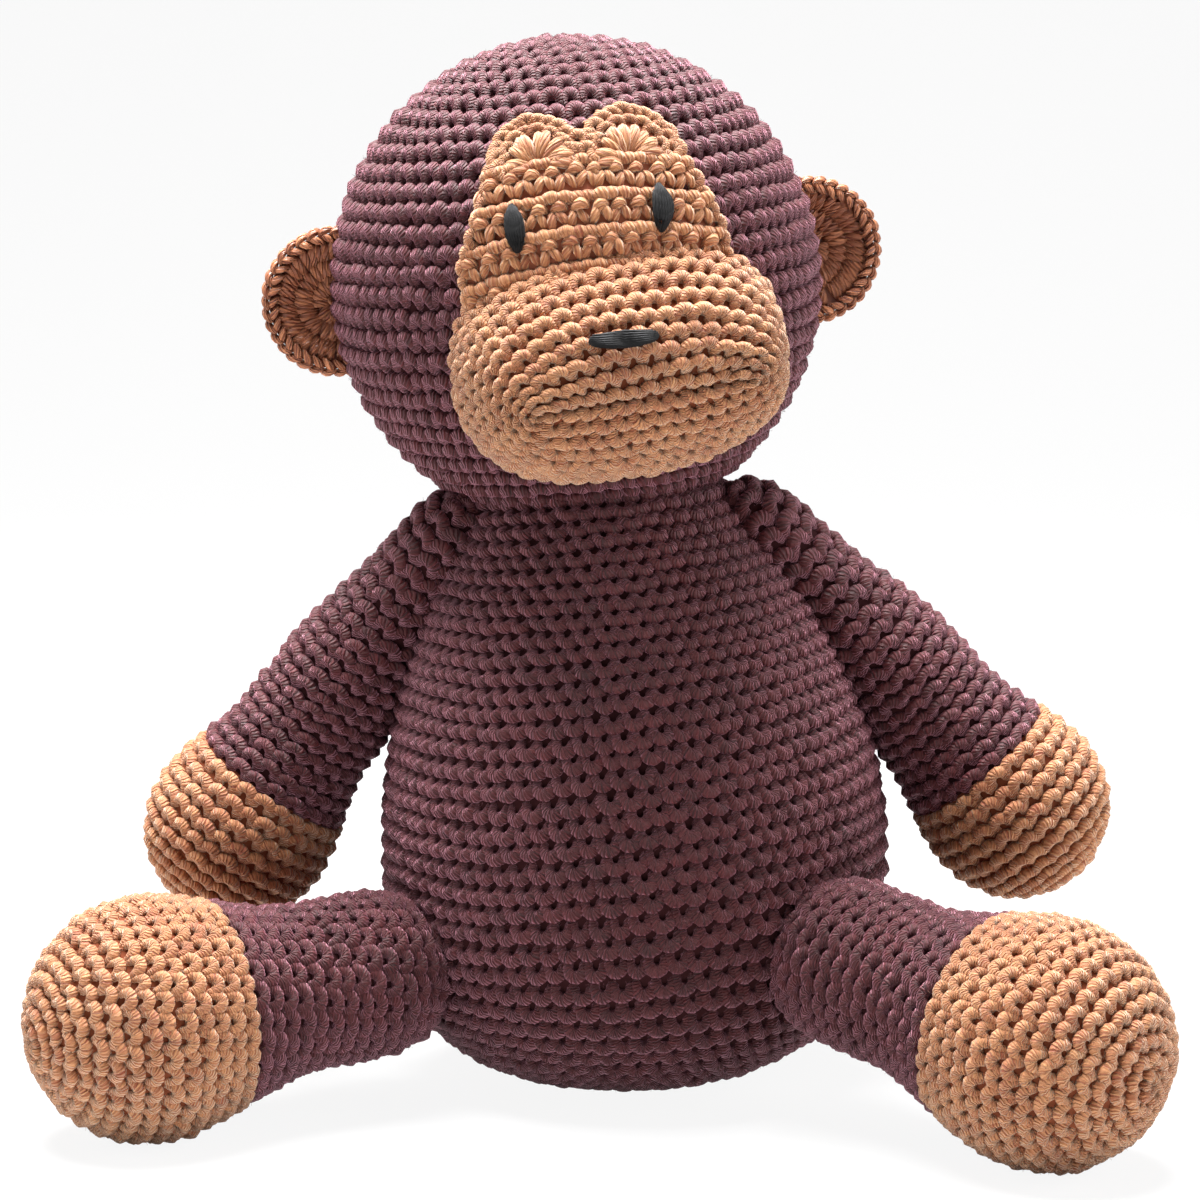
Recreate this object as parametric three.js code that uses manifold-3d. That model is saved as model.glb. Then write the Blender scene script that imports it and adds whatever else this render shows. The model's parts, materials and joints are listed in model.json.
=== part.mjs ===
// Crocheted toy monkey, stuffed and sitting. Millimetres, +Z up, the face looks towards -Y.
// The toy's right side is at -X. The origin is the centre of the flat seat under the body.

import * as THREE from "three";
import { mergeVertices } from "three/addons/utils/BufferGeometryUtils.js";
import Module from "manifold-3d";

const wasm = await Module();
wasm.setup();
const rad = THREE.MathUtils.degToRad;

// Fabric, sewing yarn and clearances
const wall = 3.2; // thickness of the crocheted covers
const gap = 0.3; // between pieces that touch
const turningGap = 0.9; // between a round end and the dent that it turns in
const floorCut = 0.5; // how much of a round form is flat where it rests on the floor
const yarnRadius = 1.1; // sewing yarn, as it lies in a seam

// Body: a pear on a round bowl, with a spine that bows to the side
const bellyRadius = 63.5;
const bellyHeight = 58;
const bowlPower = 2.8; // 2 is an ellipse, more is squarer
const neckRadius = 31;
const neckHeight = 150;
const bellySway = 2.8;
const neckSway = -6;

// Head: a ball that settles into the top of the pear
const headRadius = 60.5;
const headShift = -6;
const headSink = 2.5;
const headNod = 5;
const headTilt = -6;
const headTurn = 8;
const headOpening = 22;

// Muzzle: an oval cup with rounded corners, placed in the head's own frame
const muzzleHalfWidth = 39;
const muzzleHalfHeight = 27;
const muzzleTipHalfWidth = 26;
const muzzleDepth = 34;
const muzzlePower = 2.5;
const muzzleTuck = 14; // how far the mouth of the cup is carried back into the head
const muzzleSide = 1.5;
const muzzleForward = 45.5;
const muzzleDrop = 15.2;
const muzzleNod = 11;
const muzzleTilt = -3;
const muzzleTurn = 3;

// Face patch: two round brow lobes over straight sides, tilted on the head
const faceTilt = -3.5;
const faceShift = -1.2;
const patchHalfWidth = 30;
const patchSideTop = 15;
const patchBottom = 2;
const browRadius = 13.4;
const browSpread = 11.6;
const browHeight = 30.8;
const patchSeamBottom = 15;

// Embroidered eyes and nose
const eyeWidth = 5;
const eyeHeight = 10.5;
const eyeSpread = 17.4;
const eyeLevel = 20.9;
const noseWidth = 16;
const noseHeight = 4.2;
const noseLevel = 16;
const noseSide = -3.5;
const stitchDepth = 2.4; // how far the satin stitches stand off the fabric

// Ears: dished half discs
const earRadius = 17.5;
const earDish = 5;
const earThickness = 3.2;
const earRim = 2.1;
const earLevel = 2.5;
const earFold = 25; // folds this far either way

// Arms: thin at the shoulder, round at the hand
const shoulderDrop = 22.5; // below the neck
const shoulderDepth = 3;
const shoulderStandOff = 3;
const armRootRadius = 11.5;
const armRadius = 17.5;
const handRadius = 23.7;
const armReach = 82; // shoulder to the middle of the hand
const armSwell = 40; // the arm is full this far from the shoulder
const wristStart = 50; // the hand begins to widen here
const handColour = 13.5; // the yarn changes this far before the middle of the hand
const swingGap = 1.5; // room for the arm to swing along the body

// Legs: even thighs and large round feet
const legRootRadius = 20;
const footRadius = 28.8;
const legReach = 57.8; // hip to the middle of the foot
const ankleStart = 18; // the foot begins to widen here
const footColour = 17; // the yarn changes this far before the middle of the foot

// What differs between the two sides
const rightHipHeight = 32.5;
const rightHipStandOff = 12;
const rightLegSplay = 61.2;
const rightArmDrop = 54.5;
const leftHipHeight = 38;
const leftHipStandOff = 8;
const leftLegSplay = 47.2;
const leftArmDrop = 48.5;

// Number of facets
const bodySegments = 24;
const headSegments = 24;
const neckSegments = 32;
const limbSegments = 16;
const innerSegments = 12;
const ovalPoints = 20;
const muzzleRings = 7;
const muzzleInnerRings = 5;
const muzzleLastRing = 0.985; // share of the way round to the tip
const browPoints = 8;
const satinAround = 12;
const satinAlong = 8;
const yarnSides = 5;
const bowlRings = 6;
const pearRings = 5;
const armRings = 6;
const legRings = 5;
const rootRings = [60, 30]; // degrees round from a limb's widest place
const tipRings = [25, 50, 72];
const neckSeamPoints = 28;
const hipSeamPoints = 24;
const shoulderSeamPoints = 12;
const earSeamPoints = 8;
const patchSeamPoints = 36;

const brownYarn = new THREE.MeshStandardMaterial({ color: 0x55363a, roughness: 0.9, metalness: 0 });
const tanYarn = new THREE.MeshStandardMaterial({ color: 0xb98262, roughness: 0.9, metalness: 0 });
const earYarn = new THREE.MeshStandardMaterial({ color: 0xa9745a, roughness: 0.75, metalness: 0 });
const blackThread = new THREE.MeshStandardMaterial({ color: 0x2c2a2e, roughness: 0.6, metalness: 0 });
const fibre = new THREE.MeshStandardMaterial({ color: 0xd9d5cc, roughness: 1, metalness: 0 });

// A closed solid from a closed geometry, whichever way its faces wind
function solid(geometry) {
  const bare = geometry.clone();
  bare.deleteAttribute("normal");
  bare.deleteAttribute("uv");
  const merged = mergeVertices(bare, 1e-4);
  const index = merged.index.array;
  const corners = [];
  for (let i = 0; i < index.length; i += 3) {
    const [a, b, c] = [index[i], index[i + 1], index[i + 2]];
    if (a !== b && b !== c && c !== a) corners.push(a, b, c);
  }
  const positions = new Float32Array(merged.attributes.position.array);
  const build = (triangles) => new wasm.Manifold(new wasm.Mesh({
    numProp: 3, vertProperties: positions, triVerts: new Uint32Array(triangles) }));
  const body = build(corners);
  return body.volume() > 0 ? body : build(corners.reverse());
}

function cut(body, ...tools) {
  return tools.reduce((left, tool) => left.subtract(tool), body);
}

function placed(body, matrix) {
  return body.transform(matrix.elements);
}

function mesh(name, body, material) {
  const { vertProperties, triVerts } = body.getMesh();
  const geometry = new THREE.BufferGeometry();
  geometry.setAttribute("position", new THREE.BufferAttribute(new Float32Array(vertProperties), 3));
  geometry.setIndex(new THREE.BufferAttribute(new Uint32Array(triVerts), 1));
  geometry.computeVertexNormals();
  const piece = new THREE.Mesh(geometry, material);
  piece.name = name;
  return piece;
}

function ball(radius, segments, centre = new THREE.Vector3()) {
  const geometry = new THREE.SphereGeometry(radius, segments, segments / 2);
  geometry.rotateX(Math.PI / 2);
  geometry.translate(centre.x, centre.y, centre.z);
  return solid(geometry);
}

// A profile of (radius, height) points moved inwards along its own normals
function inset(profile, depth) {
  return profile.map((point, i) => {
    const before = profile[Math.max(i - 1, 0)];
    const after = profile[Math.min(i + 1, profile.length - 1)];
    const along = after.clone().sub(before).normalize();
    const onAxis = point.x < 1e-6;
    if (onAxis) return new THREE.Vector2(0, point.y + (i === 0 ? depth : -depth));
    return new THREE.Vector2(Math.max(point.x - depth * along.y, 0), point.y + depth * along.x);
  });
}

// A form turned about +Z from a profile that starts and ends on the axis
function turned(profile, segments) {
  return new THREE.LatheGeometry(profile, segments).rotateX(Math.PI / 2);
}

// A closed tube of yarn round a closed loop of points
function yarnLoop(points) {
  const path = new THREE.CatmullRomCurve3(points, true);
  const frames = path.computeFrenetFrames(points.length, true);
  const positions = [];
  const index = [];
  points.forEach((unused, i) => {
    const centre = path.getPointAt(i / points.length);
    for (let k = 0; k < yarnSides; k += 1) {
      const angle = (2 * Math.PI * k) / yarnSides;
      const spoke = frames.normals[i].clone().multiplyScalar(yarnRadius * Math.cos(angle));
      spoke.addScaledVector(frames.binormals[i], yarnRadius * Math.sin(angle)).add(centre);
      positions.push(spoke.x, spoke.y, spoke.z);
      const next = ((i + 1) % points.length) * yarnSides;
      const here = i * yarnSides;
      const side = (k + 1) % yarnSides;
      index.push(here + k, next + k, next + side, here + k, next + side, here + side);
    }
  });
  const geometry = new THREE.BufferGeometry();
  geometry.setAttribute("position", new THREE.Float32BufferAttribute(positions, 3));
  geometry.setIndex(index);
  return solid(geometry);
}

// A length of yarn along an open curve
function yarnLength(points) {
  const corners = [];
  for (let k = 0; k < yarnSides; k += 1) {
    const angle = (2 * Math.PI * k) / yarnSides;
    corners.push(new THREE.Vector2(yarnRadius * Math.cos(angle), yarnRadius * Math.sin(angle)));
  }
  const section = new THREE.Shape(corners);
  const extrudePath = new THREE.CatmullRomCurve3(points);
  const settings = { steps: points.length, extrudePath, bevelEnabled: false };
  return solid(new THREE.ExtrudeGeometry(section, settings));
}

// The value between low and high where a rising measure passes zero
function crossing(low, high, measure) {
  const halvings = 40;
  let [a, b] = [low, high];
  for (let i = 0; i < halvings; i += 1) {
    const middle = (a + b) / 2;
    if (measure(middle) < 0) a = middle;
    else b = middle;
  }
  return (a + b) / 2;
}

// Body

const pearHeight = neckHeight - bellyHeight;
const pearTaper = bellyRadius - neckRadius;
const pearTip = neckHeight + (pearHeight * neckRadius) / (2 * pearTaper);
const bowlDepth = bellyHeight + floorCut;

function bodyRadius(z) {
  if (z < bellyHeight) {
    const rise = Math.min((bellyHeight - z) / bowlDepth, 1);
    return bellyRadius * (1 - rise ** bowlPower) ** (1 / bowlPower);
  }
  const t = (z - bellyHeight) / pearHeight;
  if (t < 1) return neckRadius + pearTaper * (1 - t * t);
  return Math.max((neckRadius * (pearTip - z)) / (pearTip - neckHeight), 0);
}

// The spine is a parabola through the seat, the belly and the neck
const swayBend = (neckSway / neckHeight - bellySway / bellyHeight) / pearHeight;
const swaySlope = bellySway / bellyHeight - swayBend * bellyHeight;
const sway = (z) => swaySlope * z + swayBend * z * z;

// The slope of a curve at a height
const slopeAt = (curve, z) => (curve(z + gap) - curve(z - gap)) / (2 * gap);

// How far a point lies outside the body, measured square to its flank
function clearOfBody(point) {
  const reach = Math.hypot(point.x - sway(point.z), point.y);
  return (reach - bodyRadius(point.z)) / Math.hypot(1, slopeAt(bodyRadius, point.z));
}

function bodyProfile() {
  const points = [new THREE.Vector2(0, -floorCut)];
  for (let i = 1; i <= bowlRings; i += 1) {
    const angle = (Math.PI / 2) * (i / bowlRings);
    const z = bellyHeight - bowlDepth * Math.cos(angle) ** (2 / bowlPower);
    points.push(new THREE.Vector2(bellyRadius * Math.sin(angle) ** (2 / bowlPower), z));
  }
  for (let i = 1; i <= pearRings; i += 1) {
    const z = bellyHeight + (pearHeight * i) / pearRings;
    points.push(new THREE.Vector2(bodyRadius(z), z));
  }
  points.push(new THREE.Vector2(0, pearTip));
  return points;
}

function bodyForm(depth, segments) {
  const geometry = turned(inset(bodyProfile(), depth), segments);
  const position = geometry.attributes.position;
  for (let i = 0; i < position.count; i += 1) {
    position.setX(i, position.getX(i) + sway(position.getZ(i)));
  }
  return solid(geometry);
}

// A block that reaches past every piece, with its top at height z
const pastAll = 8 * headRadius;
function blockBelow(z) {
  return solid(new THREE.BoxGeometry(pastAll, pastAll, pastAll).translate(0, 0, z - pastAll / 2));
}
function blockAbove(z) {
  return solid(new THREE.BoxGeometry(pastAll, pastAll, pastAll).translate(0, 0, z + pastAll / 2));
}

const headCentre = new THREE.Vector3(
  sway(neckHeight) + headShift,
  0,
  neckHeight + Math.sqrt(headRadius ** 2 - neckRadius ** 2) - headSink,
);

// A point on the body's side at a height, and the direction square out of it
function flank(sign, z) {
  const across = (height) => sway(height) + sign * bodyRadius(height);
  const out = new THREE.Vector3(sign, 0, -sign * slopeAt(across, z)).normalize();
  return { point: new THREE.Vector3(across(z), 0, z), out };
}

// Where one side's arm and leg start, and which way they go
function makeSide(name, sign, armDrop, legSplay, hipHeight, hipStandOff) {
  const { point, out: shoulderOut } = flank(sign, neckHeight - shoulderDrop);
  const shoulder = point.addScaledVector(shoulderOut, shoulderStandOff).setY(shoulderDepth);
  const armWay = new THREE.Vector3(sign * Math.cos(rad(armDrop)), 0, -Math.sin(rad(armDrop)));
  const outward = new THREE.Vector3(sign * Math.sin(rad(legSplay)), -Math.cos(rad(legSplay)), 0);
  const hip = new THREE.Vector3(sway(hipHeight), 0, hipHeight);
  hip.addScaledVector(outward, bodyRadius(hipHeight) + hipStandOff);
  const fall = Math.asin((hipHeight - footRadius + floorCut) / legReach);
  const legWay = outward.multiplyScalar(Math.cos(fall)).setZ(-Math.sin(fall));
  return { name, sign, shoulder, shoulderOut, armWay, hip, legWay };
}

const sides = [
  makeSide("right", -1, rightArmDrop, rightLegSplay, rightHipHeight, rightHipStandOff),
  makeSide("left", 1, leftArmDrop, leftLegSplay, leftHipHeight, leftHipStandOff),
];

// The dents that the head, arms and legs press into the body, deeper for the layers inside it
function limbDents(depth, segments) {
  const grown = turningGap + depth;
  return sides.flatMap((side) => [
    ball(armRootRadius + grown, segments, side.shoulder),
    ball(legRootRadius + grown, segments, side.hip),
  ]);
}

function makeBody() {
  const neck = ball(headRadius + turningGap, neckSegments, headCentre);
  const inside = (depth) => cut(
    bodyForm(depth, innerSegments), blockBelow(depth), ...limbDents(depth, innerSegments));
  const outside = cut(bodyForm(0, bodySegments), blockBelow(0), neck, ...limbDents(0, limbSegments));
  return [
    mesh("body_cover", cut(outside, inside(wall)), brownYarn),
    mesh("body_filling", cut(inside(wall + gap), neck), fibre),
  ];
}

// Head, in its own frame

// A frame at a place, nodded about X, then turned about Z, then tilted about Y
function leaningFrame(place, nod, tilt, turn) {
  const angles = new THREE.Euler(rad(nod), rad(tilt), rad(turn), "YZX");
  return new THREE.Matrix4().makeRotationFromEuler(angles).setPosition(place);
}
const headFrame = leaningFrame(headCentre, headNod, headTilt, headTurn);
const headForm = (radius) => ball(radius, headSegments);

function makeHead() {
  const openingBlock = new THREE.CylinderGeometry(headOpening, headOpening, headRadius, innerSegments);
  openingBlock.rotateX(Math.PI / 2).translate(0, 0, -headRadius);
  const hollow = ball(headRadius - wall, innerSegments);
  return [
    mesh("head_cover", cut(headForm(headRadius), hollow, solid(openingBlock)), brownYarn),
    mesh("head_filling", ball(headRadius - wall - gap, innerSegments), fibre),
  ];
}

// Muzzle: rings of a rounded oval, wide at the head and drawn together along a line at the tip

const muzzlePlace = new THREE.Vector3(muzzleSide, -muzzleForward, -muzzleDrop);
const muzzleFrame = leaningFrame(muzzlePlace, muzzleNod, muzzleTilt, muzzleTurn);

function muzzlePoint(angle, slope, depth) {
  const power = 2 / muzzlePower;
  const [c, s] = [Math.cos(angle), Math.sin(angle)];
  const spread = (muzzleHalfWidth - muzzleTipHalfWidth) * Math.cos(slope);
  const halfWidth = muzzleTipHalfWidth + spread - depth;
  const halfHeight = (muzzleHalfHeight - depth) * Math.cos(slope);
  const forward = (muzzleDepth - depth) * Math.sin(slope);
  const x = halfWidth * Math.sign(c) * Math.abs(c) ** power;
  const z = halfHeight * Math.sign(s) * Math.abs(s) ** power;
  return new THREE.Vector3(x, -forward, z);
}

// The cup with its surface moved inwards by depth, and its mouth carried back into the head
function muzzleForm(depth, rings) {
  const loops = [];
  for (let i = 0; i < rings; i += 1) {
    const slope = ((Math.PI / 2) * muzzleLastRing * i) / (rings - 1);
    loops.push([]);
    for (let k = 0; k < ovalPoints; k += 1) {
      loops[i].push(muzzlePoint((2 * Math.PI * k) / ovalPoints, slope, depth));
    }
  }
  loops.unshift(loops[0].map((point) => point.clone().setY(muzzleTuck)));
  const mouth = new THREE.Vector3(0, muzzleTuck, 0);
  const tip = muzzlePoint(0, Math.PI / 2, depth).setX(0);
  const positions = [mouth, ...loops.flat(), tip].flatMap((point) => point.toArray());
  const index = [];
  const at = (ring, k) => 1 + ring * ovalPoints + (k % ovalPoints);
  for (let k = 0; k < ovalPoints; k += 1) {
    index.push(0, at(0, k), at(0, k + 1));
    index.push(1 + loops.length * ovalPoints, at(rings, k + 1), at(rings, k));
    for (let ring = 0; ring < rings; ring += 1) {
      index.push(at(ring, k), at(ring + 1, k), at(ring + 1, k + 1));
      index.push(at(ring, k), at(ring + 1, k + 1), at(ring, k + 1));
    }
  }
  const geometry = new THREE.BufferGeometry();
  geometry.setAttribute("position", new THREE.Float32BufferAttribute(positions, 3));
  geometry.setIndex(index);
  return placed(solid(geometry), muzzleFrame);
}

// Where yarn lies in the corner between the muzzle and the head
function muzzleSeamPoint(angle) {
  const lift = yarnRadius + gap;
  const point = (slope) => muzzlePoint(angle, slope, -lift - gap).applyMatrix4(muzzleFrame);
  return point(crossing(0, Math.PI / 2, (slope) => point(slope).length() - headRadius - lift));
}

function makeMuzzle() {
  const seat = headForm(headRadius + gap);
  const outside = muzzleForm(0, muzzleRings);
  const hollow = muzzleForm(wall, muzzleInnerRings);
  const filling = muzzleForm(wall + gap, muzzleInnerRings);
  const loop = [];
  for (let k = 0; k < ovalPoints; k += 1) loop.push(muzzleSeamPoint((2 * Math.PI * k) / ovalPoints));
  return [
    mesh("muzzle_cover", cut(outside, hollow, seat), tanYarn),
    mesh("muzzle_filling", cut(filling, seat), fibre),
    mesh("muzzle_seam", yarnLoop(loop), tanYarn),
  ];
}

// Face patch, grown outwards all round by the given amount, as an outline seen from the front
function patchOutline(grow, bottom) {
  const half = patchHalfWidth + grow;
  const brow = browRadius + grow;
  const notch = Math.acos(-browSpread / brow);
  const outline = new THREE.Path();
  outline.moveTo(half, bottom);
  outline.lineTo(half, patchSideTop);
  outline.lineTo(browSpread + brow, browHeight);
  outline.absarc(browSpread, browHeight, brow, 0, notch);
  outline.absarc(-browSpread, browHeight, brow, Math.PI - notch, Math.PI);
  outline.lineTo(-half, patchSideTop);
  outline.lineTo(-half, bottom);
  return outline;
}

const faceFrame = new THREE.Matrix4().makeRotationY(rad(faceTilt));
faceFrame.multiply(new THREE.Matrix4().makeTranslation(faceShift, 0, 0));

// A point of the face, seen from the front, laid on a ball about the head's centre
function onFace(x, z, radius) {
  const point = new THREE.Vector3(x, 0, z).applyMatrix4(faceFrame);
  point.y = -Math.sqrt(radius ** 2 - point.x ** 2 - point.z ** 2);
  return point;
}

function satinStitch(width, height) {
  const geometry = new THREE.SphereGeometry(1, satinAround, satinAlong);
  geometry.scale(width / 2, stitchDepth, height / 2);
  return solid(geometry);
}

function makeFace() {
  const shape = new THREE.Shape(patchOutline(0, patchBottom).getPoints(browPoints));
  const block = new THREE.ExtrudeGeometry(shape, { depth: 2 * headRadius, bevelEnabled: false });
  block.rotateX(Math.PI / 2).applyMatrix4(faceFrame);
  const seamRoom = 2 * (yarnRadius + 2 * gap);
  const layer = headForm(headRadius + gap + wall).subtract(headForm(headRadius + gap));
  const patch = cut(layer.intersect(solid(block)), muzzleForm(-seamRoom, muzzleRings));

  const lift = yarnRadius + gap;
  const outline = patchOutline(lift + gap, patchSeamBottom).getSpacedPoints(patchSeamPoints);
  const clearOfNotch = outline.filter((point) => Math.abs(point.x) > 2 * yarnRadius);
  const seamPoints = clearOfNotch.map((point) => onFace(point.x, point.y, headRadius + lift));

  const eyeSeat = headForm(headRadius + 2 * gap + wall);
  const eyes = sides.map((side) => {
    const middle = onFace(side.sign * eyeSpread, eyeLevel, headRadius + gap + wall);
    const facing = new THREE.Quaternion().setFromUnitVectors(
      new THREE.Vector3(0, -1, 0), middle.clone().normalize());
    const frame = new THREE.Matrix4().compose(middle, facing, new THREE.Vector3(1, 1, 1));
    const stitches = placed(satinStitch(eyeWidth, eyeHeight), frame);
    return mesh(`${side.name}_eye`, cut(stitches, eyeSeat), blackThread);
  });

  const noseSlope = Math.acos(noseLevel / muzzleHalfHeight);
  const bridge = muzzlePoint(Math.PI / 2, noseSlope, 0).setX(noseSide);
  const noseFrame = muzzleFrame.clone().multiply(new THREE.Matrix4().makeTranslation(...bridge));
  const noseFacing = new THREE.Matrix4().makeRotationX(-Math.atan2(bridge.z, -bridge.y));
  const stitches = placed(satinStitch(noseWidth, noseHeight), noseFrame.multiply(noseFacing));
  return [
    mesh("face_patch", patch, tanYarn),
    mesh("face_patch_seam", yarnLength(seamPoints), tanYarn),
    ...eyes,
    mesh("nose", cut(stitches, muzzleForm(-gap, muzzleRings)), blackThread),
  ];
}

// Ears, each in a frame on the side of the head with +X outwards and the dish open towards -Y
function makeEars() {
  const back = earThickness / 2;
  const halfOut = earRadius / 2;
  const halfDish = -earDish * (1 - (halfOut / earRadius) ** 2);
  const profile = [
    new THREE.Vector2(0, -earDish - back),
    new THREE.Vector2(halfOut, halfDish - back),
    new THREE.Vector2(earRadius - earRim, -back),
    new THREE.Vector2(earRadius, -earRim / 2),
    new THREE.Vector2(earRadius, earRim / 2),
    new THREE.Vector2(earRadius - earRim, earRim),
    new THREE.Vector2(earRadius - 2 * earRim, back),
    new THREE.Vector2(halfOut, halfDish + back),
    new THREE.Vector2(0, -earDish + back),
  ];
  const dish = new THREE.LatheGeometry(profile, limbSegments).rotateZ(Math.PI);
  const level = Math.sqrt(headRadius ** 2 - earLevel ** 2);
  return sides.flatMap((side) => {
    const root = new THREE.Vector3(side.sign * level, 0, earLevel);
    const frame = new THREE.Matrix4().makeTranslation(...root);
    const ear = placed(solid(dish), frame);
    const folds = [-earFold, 0, earFold].map((angle) => {
      const turn = frame.clone().multiply(new THREE.Matrix4().makeRotationZ(rad(angle)));
      return placed(headForm(headRadius + gap), turn.multiply(frame.clone().invert()));
    });
    const lift = yarnRadius + gap;
    const behind = earDish + earThickness;
    const points = [];
    for (let i = 0; i <= earSeamPoints; i += 1) {
      const z = earLevel + (earRadius - 2 * earRim) * ((2 * i) / earSeamPoints - 1);
      const reach = (headRadius + lift) ** 2 - z ** 2 - behind ** 2;
      points.push(new THREE.Vector3(side.sign * Math.sqrt(reach), behind, z));
    }
    return [
      mesh(`${side.name}_ear`, cut(ear, ...folds), earYarn),
      mesh(`${side.name}_ear_seam`, yarnLength(points), earYarn),
    ];
  });
}

// Limbs, each along +Z from the middle of its round root

function limbRadius(root, full, fullAt, widenAt, end, reach) {
  const { smoothstep } = THREE.MathUtils;
  return (s) => {
    const swell = (full - root) * smoothstep(s, 0, fullAt);
    return root + swell + (end - full) * smoothstep(s, widenAt, reach);
  };
}
const armAt = limbRadius(armRootRadius, armRadius, armSwell, wristStart, handRadius, armReach);
const legAt = limbRadius(legRootRadius, legRootRadius, 1, ankleStart, footRadius, legReach);

function limbProfile(radiusAt, reach, rings) {
  const [root, end] = [radiusAt(0), radiusAt(reach)];
  const points = [new THREE.Vector2(0, -root)];
  for (const angle of rootRings) {
    points.push(new THREE.Vector2(root * Math.cos(rad(angle)), -root * Math.sin(rad(angle))));
  }
  for (let i = 0; i <= rings; i += 1) {
    const s = (reach * i) / rings;
    points.push(new THREE.Vector2(radiusAt(s), s));
  }
  for (const angle of tipRings) {
    points.push(new THREE.Vector2(end * Math.cos(rad(angle)), reach + end * Math.sin(rad(angle))));
  }
  points.push(new THREE.Vector2(0, reach + end));
  return points;
}

function limbFrame(root, way) {
  const turn = new THREE.Quaternion().setFromUnitVectors(new THREE.Vector3(0, 0, 1), way);
  return new THREE.Matrix4().compose(root, turn, new THREE.Vector3(1, 1, 1));
}

// Cover in two colours and one filling; clearance(depth) lists what the limb is trimmed by at that depth
function makeLimb(limb, tip, profile, colourAt, clearance) {
  const form = (depth, segments) => cut(solid(turned(inset(profile, depth), segments)), ...clearance(depth));
  const cover = cut(form(0, limbSegments), form(wall, innerSegments));
  return [
    mesh(`${limb}_cover`, cut(cover, blockAbove(colourAt - gap / 2)), brownYarn),
    mesh(`${tip}_cover`, cut(cover, blockBelow(colourAt + gap / 2)), tanYarn),
    mesh(`${limb}_filling`, form(wall + gap, innerSegments), fibre),
  ];
}

function makeArm(side) {
  const frame = limbFrame(side.shoulder, side.armWay);
  const toArm = frame.clone().invert();
  const profile = limbProfile(armAt, armReach, armRings);
  const clearance = (depth) => {
    const socket = ball(armRootRadius + gap - depth, limbSegments, side.shoulder);
    const obstacle = bodyForm(-swingGap - depth, bodySegments).subtract(socket);
    return [placed(obstacle, toArm)];
  };
  const arm = new THREE.Group();
  arm.applyMatrix4(frame);
  arm.add(...makeLimb(`${side.name}_arm`, `${side.name}_hand`, profile, armReach - handColour, clearance));
  return arm;
}

function makeLeg(side) {
  const frame = limbFrame(side.hip, side.legWay);
  const toLeg = frame.clone().invert();
  const profile = limbProfile(legAt, legReach, legRings);
  const clearance = (depth) => [placed(blockBelow(depth), toLeg)];
  const leg = new THREE.Group();
  leg.applyMatrix4(frame);
  leg.add(...makeLimb(`${side.name}_leg`, `${side.name}_foot`, profile, legReach - footColour, clearance));
  return leg;
}

// Sewing yarn in the corner between two round pieces

function makeNeckSeam() {
  const lift = yarnRadius + gap + turningGap;
  const axis = new THREE.Vector3(sway(neckHeight), 0, neckHeight).sub(headCentre).normalize();
  const ahead = new THREE.Vector3(0, -1, 0);
  const across = axis.clone().cross(ahead);
  const points = [];
  for (let k = 0; k < neckSeamPoints; k += 1) {
    const turn = (2 * Math.PI * k) / neckSeamPoints;
    const spoke = ahead.clone().multiplyScalar(Math.cos(turn)).addScaledVector(across, Math.sin(turn));
    const point = (angle) => axis.clone().multiplyScalar(Math.cos(angle))
      .addScaledVector(spoke, Math.sin(angle))
      .multiplyScalar(headRadius + lift)
      .add(headCentre);
    points.push(point(crossing(0, Math.PI / 2, (angle) => clearOfBody(point(angle)) - lift)));
  }
  return mesh("neck_seam", yarnLoop(points), brownYarn);
}

// Half way round the shoulder, on the side away from the arm
function makeShoulderSeam(side) {
  const lift = yarnRadius + gap;
  const { shoulder, shoulderOut: out, armWay } = side;
  const upward = armWay.clone().addScaledVector(out, -armWay.dot(out)).normalize().negate();
  const across = out.clone().cross(upward);
  const points = [];
  for (let k = 0; k <= shoulderSeamPoints; k += 1) {
    const turn = Math.PI * (k / shoulderSeamPoints - 0.5);
    const spoke = upward.clone().multiplyScalar(Math.cos(turn)).addScaledVector(across, Math.sin(turn));
    const rim = shoulder.clone().addScaledVector(spoke, armRootRadius + lift + turningGap);
    const point = (height) => rim.clone().addScaledVector(out, height);
    points.push(point(crossing(-armRootRadius, armRootRadius, (h) => clearOfBody(point(h)) - lift)));
  }
  return mesh(`${side.name}_shoulder_seam`, yarnLength(points), brownYarn);
}

function makeHipSeam(side) {
  const lift = yarnRadius + gap;
  const frame = limbFrame(side.hip, side.legWay);
  const points = [];
  for (let k = 0; k < hipSeamPoints; k += 1) {
    const turn = (2 * Math.PI * k) / hipSeamPoints;
    const reach = (s) => Math.sqrt(legRootRadius ** 2 - Math.min(s, 0) ** 2) + lift + gap;
    const point = (s) => new THREE.Vector3(reach(s) * Math.cos(turn), reach(s) * Math.sin(turn), s)
      .applyMatrix4(frame);
    points.push(point(crossing(-legRootRadius, legRootRadius, (s) => clearOfBody(point(s)) - lift - gap)));
  }
  return mesh(`${side.name}_hip_seam`, yarnLoop(points), brownYarn);
}

const head = new THREE.Group();
head.applyMatrix4(headFrame);
head.add(...makeHead(), ...makeMuzzle(), ...makeFace(), ...makeEars());

const monkey = new THREE.Group();
monkey.add(...makeBody(), head, makeNeckSeam());
for (const side of sides) {
  monkey.add(makeArm(side), makeShoulderSeam(side), makeLeg(side), makeHipSeam(side));
}

export default monkey;
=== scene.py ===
# %% [markdown]
# A crocheted monkey, stuffed and sitting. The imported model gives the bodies, the joints and the
# size. This lesson dresses it: every cover is made of single crochet stitches, laid round by round
# over a stuffed form. Operators shape the studio. The stitches are laid in code, because thousands of
# them bend with the form under them, and no operator bends one mesh along the rounds of another.
# The script works in millimetres and turns them into metres when a mesh is made.

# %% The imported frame
import json
import math

import bpy
import numpy as np
from mathutils import Matrix, Vector


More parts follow.
